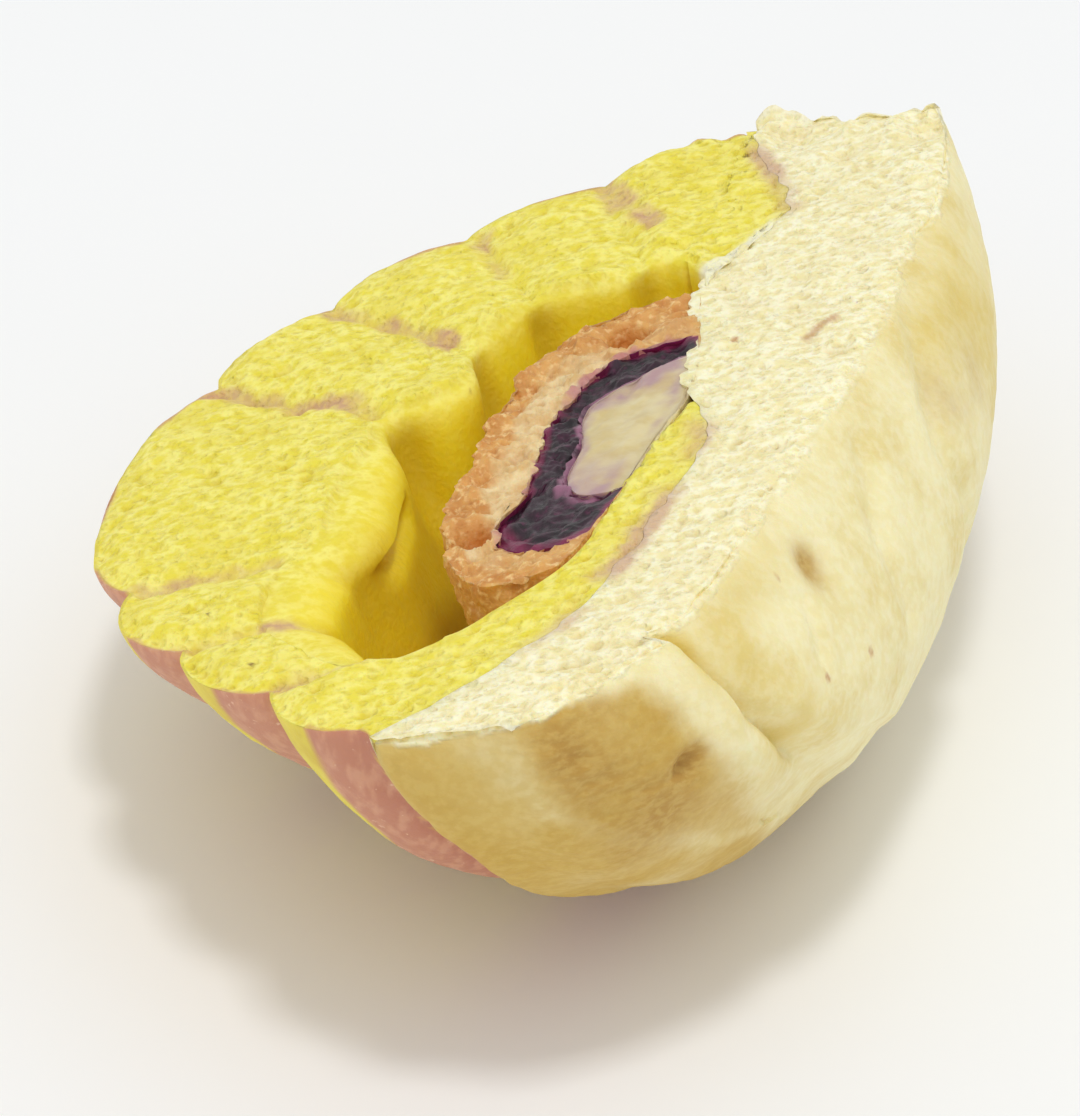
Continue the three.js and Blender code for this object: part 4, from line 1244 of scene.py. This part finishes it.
def lid(body, columns, rows, face_rows):
    """A solid body as one grid: outside from the deepest point up, then the face in to the
    middle, so that both ends close in a pole."""
    outside = bowl_rows(body, columns, rows)[::-1]
    middle = np.broadcast_to(outside[-1].mean(axis=0), outside[-1].shape)
    face = lens(outside[-1], middle, face_rows)
    grid = np.concatenate([outside[:-1], face])
    row = np.arange(len(grid))[:, None] * np.ones(columns + 1)
    return grid, {"face": (row >= rows) * 1.0, "across": np.clip((row - rows) / face_rows, 0, 1)}


RIM = 0.14


def body(reach, depth, power, tightened, layer):
    """One of the nested bodies: tightened all round by that many clearances (fewer than none
    presses it into its neighbour), and lifted off the floor by one rim for every layer that
    is under it."""
    return reach, depth, power, CLEARANCE * tightened, RIM * layer


sponge_grid = cup(body(sponge_reach, 15.5, 2.3, 0, 0), body(compote_reach, 11.0, 2.2, 0, 1),
                  420, 60, 60, 20)
compote_grid = cup(body(compote_reach, 11.0, 2.2, -2, 1.2), body(cream_reach, 7.5, 2.0, 0, 2.2),
                   320, 16, 60, 14)
cream_grid = lid(body(cream_reach, 7.5, 2.0, -2, 2.4), 280, 14, 60)
for label, grid in (("sponge", sponge_grid), ("compote", compote_grid), ("cream", cream_grid)):
    tell(label, [grid])

# %% [markdown]
# ### Relief and finish of the filling
# Sponge is the coarsest crumb of all: knobbly and golden brown where it baked, paler in
# the middle, with two caves where it came away from the fruit. Fruit is lumpy and wet, so
# it gets a coat. Cream is smooth, with a lilac stain where it touches the fruit.

# %% Dress the filling
CAVES = [((11.8, 13.9), 1.9, 3.0), ((-20.6, 13.4), 2.6, 3.0)]


def beside_strip(points, reach):
    """1 close to the yellow strip that the filling lies on, and a smooth step down to 0 from
    0.4 times that reach in millimetres to the whole of it."""
    u, v, w = points.T
    away = v - np.maximum(dish_top(u, w), np.minimum(hollow_floor(u, w), 20))
    return 1 - ease(away, 0.4 * reach, reach)


def sponge_relief(points, normals, marks):
    """Coarse lumps everywhere, pores in the face, and two caves sunk beside the fruit."""
    u, v, w = points.T
    outside = 1 - np.clip(marks["inside"], 0, 1)
    large = pits(points, 3.4, 0.5, 1.1, 301)
    small = pits(points, 1.3, 0.9, 0.55, 311)
    lumps = 0.42 * rough_noise(points, 2.4, 321) + 0.28 * rough_noise(points, 0.8, 325)
    away = 1 - beside_strip(points, 1.2)
    cave = sum(depth * (1 - ease(np.hypot(u - at[0], v - at[1]), 0.35 * size, size))
               for at, size, depth in CAVES) * marks["face"] * (1 - ease(marks["across"], 0.9, 1))
    move = (lumps - 0.5 * large - 0.22 * small) * outside * (0.3 + 0.7 * away)
    upper = ease(v, 10, 14) * (1 - ease(u, 4, 11))
    frayed = 0.12 * rough_noise(points, 2.0, 331)
    middle = ease(marks["across"] + frayed, 0.34, 0.55) * marks["face"] * (0.25 + 0.75 * upper)
    stain = ease(marks["across"] + frayed, 0.93, 1.03)
    creamy = beside_strip(points, 0.9) * ease(u, -17, -13) * (1 - ease(u, 7, 10))
    # The pore and cave marks are painted shade in the pits and the two caves.
    out = {"pore_shade": np.clip(0.7 * large + 0.5 * small, 0, 1), "pale": middle,
           "cave": np.clip(cave / 2.5, 0, 1), "stain": np.clip(stain, 0, 1), "creamy": creamy}
    points = points + normals * move[:, None]
    points[:, 2] -= cave
    return points, out


def sponge_finish():
    """Golden brown, paler towards the fruit, with painted shade of a caramel colour in pores and
    caves, and cream where it rests on the strip."""
    f = Finish("sponge", 0.6, 0.25, (1.5, 0.9, 0.4))
    brown = f.mix(f.step(f.noise(2.0, 4), 0.36, 0.66), "DFA75C", "C98840")
    brown = f.mix(f.step(f.noise(0.6, 3), 0.5, 0.72), brown, "F0C888")
    pale = f.mix(f.step(f.noise(1.4, 4), 0.34, 0.66), "EFD5A2", "DBB478")
    base = f.mix(f.mark("pale"), brown, pale)
    # Painted shade: darker in the pores and the caves.
    base = f.mix(f.times(f.mark("pore_shade"), 0.6), base, "B06A30")
    base = f.mix(f.mark("cave"), base, "CE7A1E")
    base = f.mix(f.times(f.mark("stain"), 0.7), base, "B4607A")
    f.colour(f.mix(f.mark("creamy"), base, "DDC890"))
    f.bump(f.noise(0.5, 4), 0.35, 0.6)
    f.bump(f.cells(0.5), 0.15, 0.4)
    return f.material


def fruit_relief(points, normals, marks):
    """Lumps of crushed fruit in the face, and a few small holes."""
    face = np.clip(marks["face"], 0, 1)
    lumps = 0.4 * rough_noise(points, 2.6, 401) + 0.18 * rough_noise(points, 0.8, 405)
    holes = pits(points, 2.8, 0.4, 0.8, 411)
    near = beside_strip(points, 1.5) * ease(points[:, 0], -13, -10) * (1 - ease(points[:, 0], 5, 8))
    move = (lumps - 0.25 - 0.5 * holes) * face * (1 - 0.9 * beside_strip(points, 1.5))
    frayed = 0.15 * rough_noise(points, 1.6, 421)
    out = {"edge": 1 - ease(marks["across"] + frayed, 0.0, 0.24),
           "inner": np.clip(ease(marks["across"] + frayed, 0.8, 1.0), 0, 1), "creamy": near}
    return points + normals * move[:, None], out


def fruit_finish():
    """Nearly black purple, magenta at the rim, lilac where it meets the cream, wet."""
    f = Finish("fruit_compote", 0.45, 0.1, (1.0, 0.3, 0.5))
    f.shader.inputs["Specular IOR Level"].default_value = 0.3
    f.shader.inputs["Coat Weight"].default_value = 0.25
    f.shader.inputs["Coat Roughness"].default_value = 0.12
    dark = f.mix(f.step(f.noise(1.6, 4), 0.35, 0.7), "14060F", "340F26")
    dark = f.mix(f.step(f.noise(0.7, 3), 0.5, 0.8), dark, "5A1C40")
    dark = f.mix(f.times(f.mark("edge"), 0.8), dark, "85204C")
    dark = f.mix(f.times(f.mark("inner"), 0.85), dark, "A06A84")
    f.colour(f.mix(f.mark("creamy"), dark, "D9C39A"))
    f.bump(f.noise(0.6, 4), 0.2, 0.7)
    return f.material


def cream_relief(points, normals, marks):
    """A gentle spread surface with faint strokes."""
    u, v, _ = points.T
    face = np.clip(marks["face"], 0, 1)
    strokes = 0.22 * rough_noise(points * [0.5, 1, 1], 2.2, 501)
    frayed = 0.16 * rough_noise(points, 2.4, 511)
    rim = 1 - ease(marks["across"] + frayed, 0.05, 0.42)
    tail = 0.7 * (1 - ease(u + 2 * frayed, -13.5, -8))
    stain = np.clip(np.maximum(rim, tail), 0, 1) * (1 - 0.85 * beside_strip(points, 1.6))
    return points + normals * ((strokes - 0.1) * face)[:, None], {"stain": stain}


def cream_finish():
    """Pale yellow cream, lilac towards its rim, with specks of fruit."""
    f = Finish("cream", 0.38, 0.35, (2.0, 1.5, 0.8))
    f.shader.inputs["Coat Weight"].default_value = 0.25
    f.shader.inputs["Coat Roughness"].default_value = 0.2
    base = f.mix(f.step(f.noise(2.5, 3), 0.35, 0.7), "DCCB98", "CFB878")
    stain = f.times(f.mark("stain"), f.step(f.noise(2.0, 4), 0.25, 0.6, 0.4, 0.95))
    base = f.mix(stain, base, "B08A90")
    f.colour(f.mix(f.step(f.noise(0.9, 2), 0.78, 0.82), base, "8A3A40"))
    f.bump(f.noise(0.8, 3), 0.12, 0.5)
    return f.material


build("sponge_shell_crumb", [sponge_grid], sponge_relief, "sponge_shell",
      sponge_finish())
build("fruit_compote_wet", [compote_grid], fruit_relief, "fruit_compote",
      fruit_finish())
build("cream_spread", [cream_grid], cream_relief, "cream", cream_finish())

# %% [markdown]
# ## Floor, light and camera
# The bun lies on a plain pale floor in a bright, soft studio. A lamp hangs almost straight
# overhead, a little to the front, so the shadow gathers close round the bun. The camera
# looks down by 33 degrees with a long lens, which is why the cut face is seen so flat.

# %% Floor
FLOOR_HALF = 3.0
floor_mesh = bpy.data.meshes.new("floor")
floor_mesh.from_pydata([(-FLOOR_HALF, -FLOOR_HALF, 0), (FLOOR_HALF, -FLOOR_HALF, 0),
                        (FLOOR_HALF, FLOOR_HALF, 0), (-FLOOR_HALF, FLOOR_HALF, 0)],
                       [], [(0, 1, 2, 3)])
floor = bpy.data.objects.new("floor", floor_mesh)
bpy.context.scene.collection.objects.link(floor)
matt = Finish("floor_paper", 0.9)
matt.colour(matt.mix(matt.noise(40.0, 2), "F5F5F6", "F7F7F8"))
floor_mesh.materials.append(matt.material)

# %% Lights
KEY_PLACE, KEY_SIZE, KEY_POWER = (0.05, -0.19, 0.87), 0.14, 2.12
SKY_STRENGTH, SKY_COLOUR = 0.78, (0.985, 1, 0.99, 1)
lamp_data = bpy.data.lights.new("key_light", "AREA")
lamp_data.size, lamp_data.energy = KEY_SIZE, KEY_POWER
key_light = bpy.data.objects.new("key_light", lamp_data)
bpy.context.scene.collection.objects.link(key_light)
tilt = math.atan2(math.hypot(*KEY_PLACE[:2]), KEY_PLACE[2])
key_light.location = KEY_PLACE
key_light.rotation_euler = (tilt, 0, math.atan2(KEY_PLACE[1], KEY_PLACE[0]) + math.pi / 2)
sky = bpy.data.worlds.new("studio")
sky.use_nodes = True
sky.node_tree.nodes["Background"].inputs["Color"].default_value = SKY_COLOUR
sky.node_tree.nodes["Background"].inputs["Strength"].default_value = SKY_STRENGTH
bpy.context.scene.world = sky
bpy.context.scene.view_settings.view_transform = "Standard"
print("key light stands", round(math.degrees(tilt), 1), "degrees off straight overhead")

# %% Camera
CAMERA_PLACE = (-0.00129, -0.38768, 0.26563)
CAMERA_PITCH = 33.0
CAMERA_LENS, SENSOR_HEIGHT = 198.3, 36.0
camera_data = bpy.data.cameras.new("camera")
camera_data.sensor_fit = "VERTICAL"
camera_data.sensor_height = SENSOR_HEIGHT
camera_data.lens = CAMERA_LENS
camera = bpy.data.objects.new("camera", camera_data)
camera.location = CAMERA_PLACE
camera.rotation_euler = (math.radians(90 - CAMERA_PITCH), 0, 0)
bpy.context.scene.collection.objects.link(camera)
bpy.context.scene.camera = camera
print("camera looks down by", CAMERA_PITCH, "degrees")
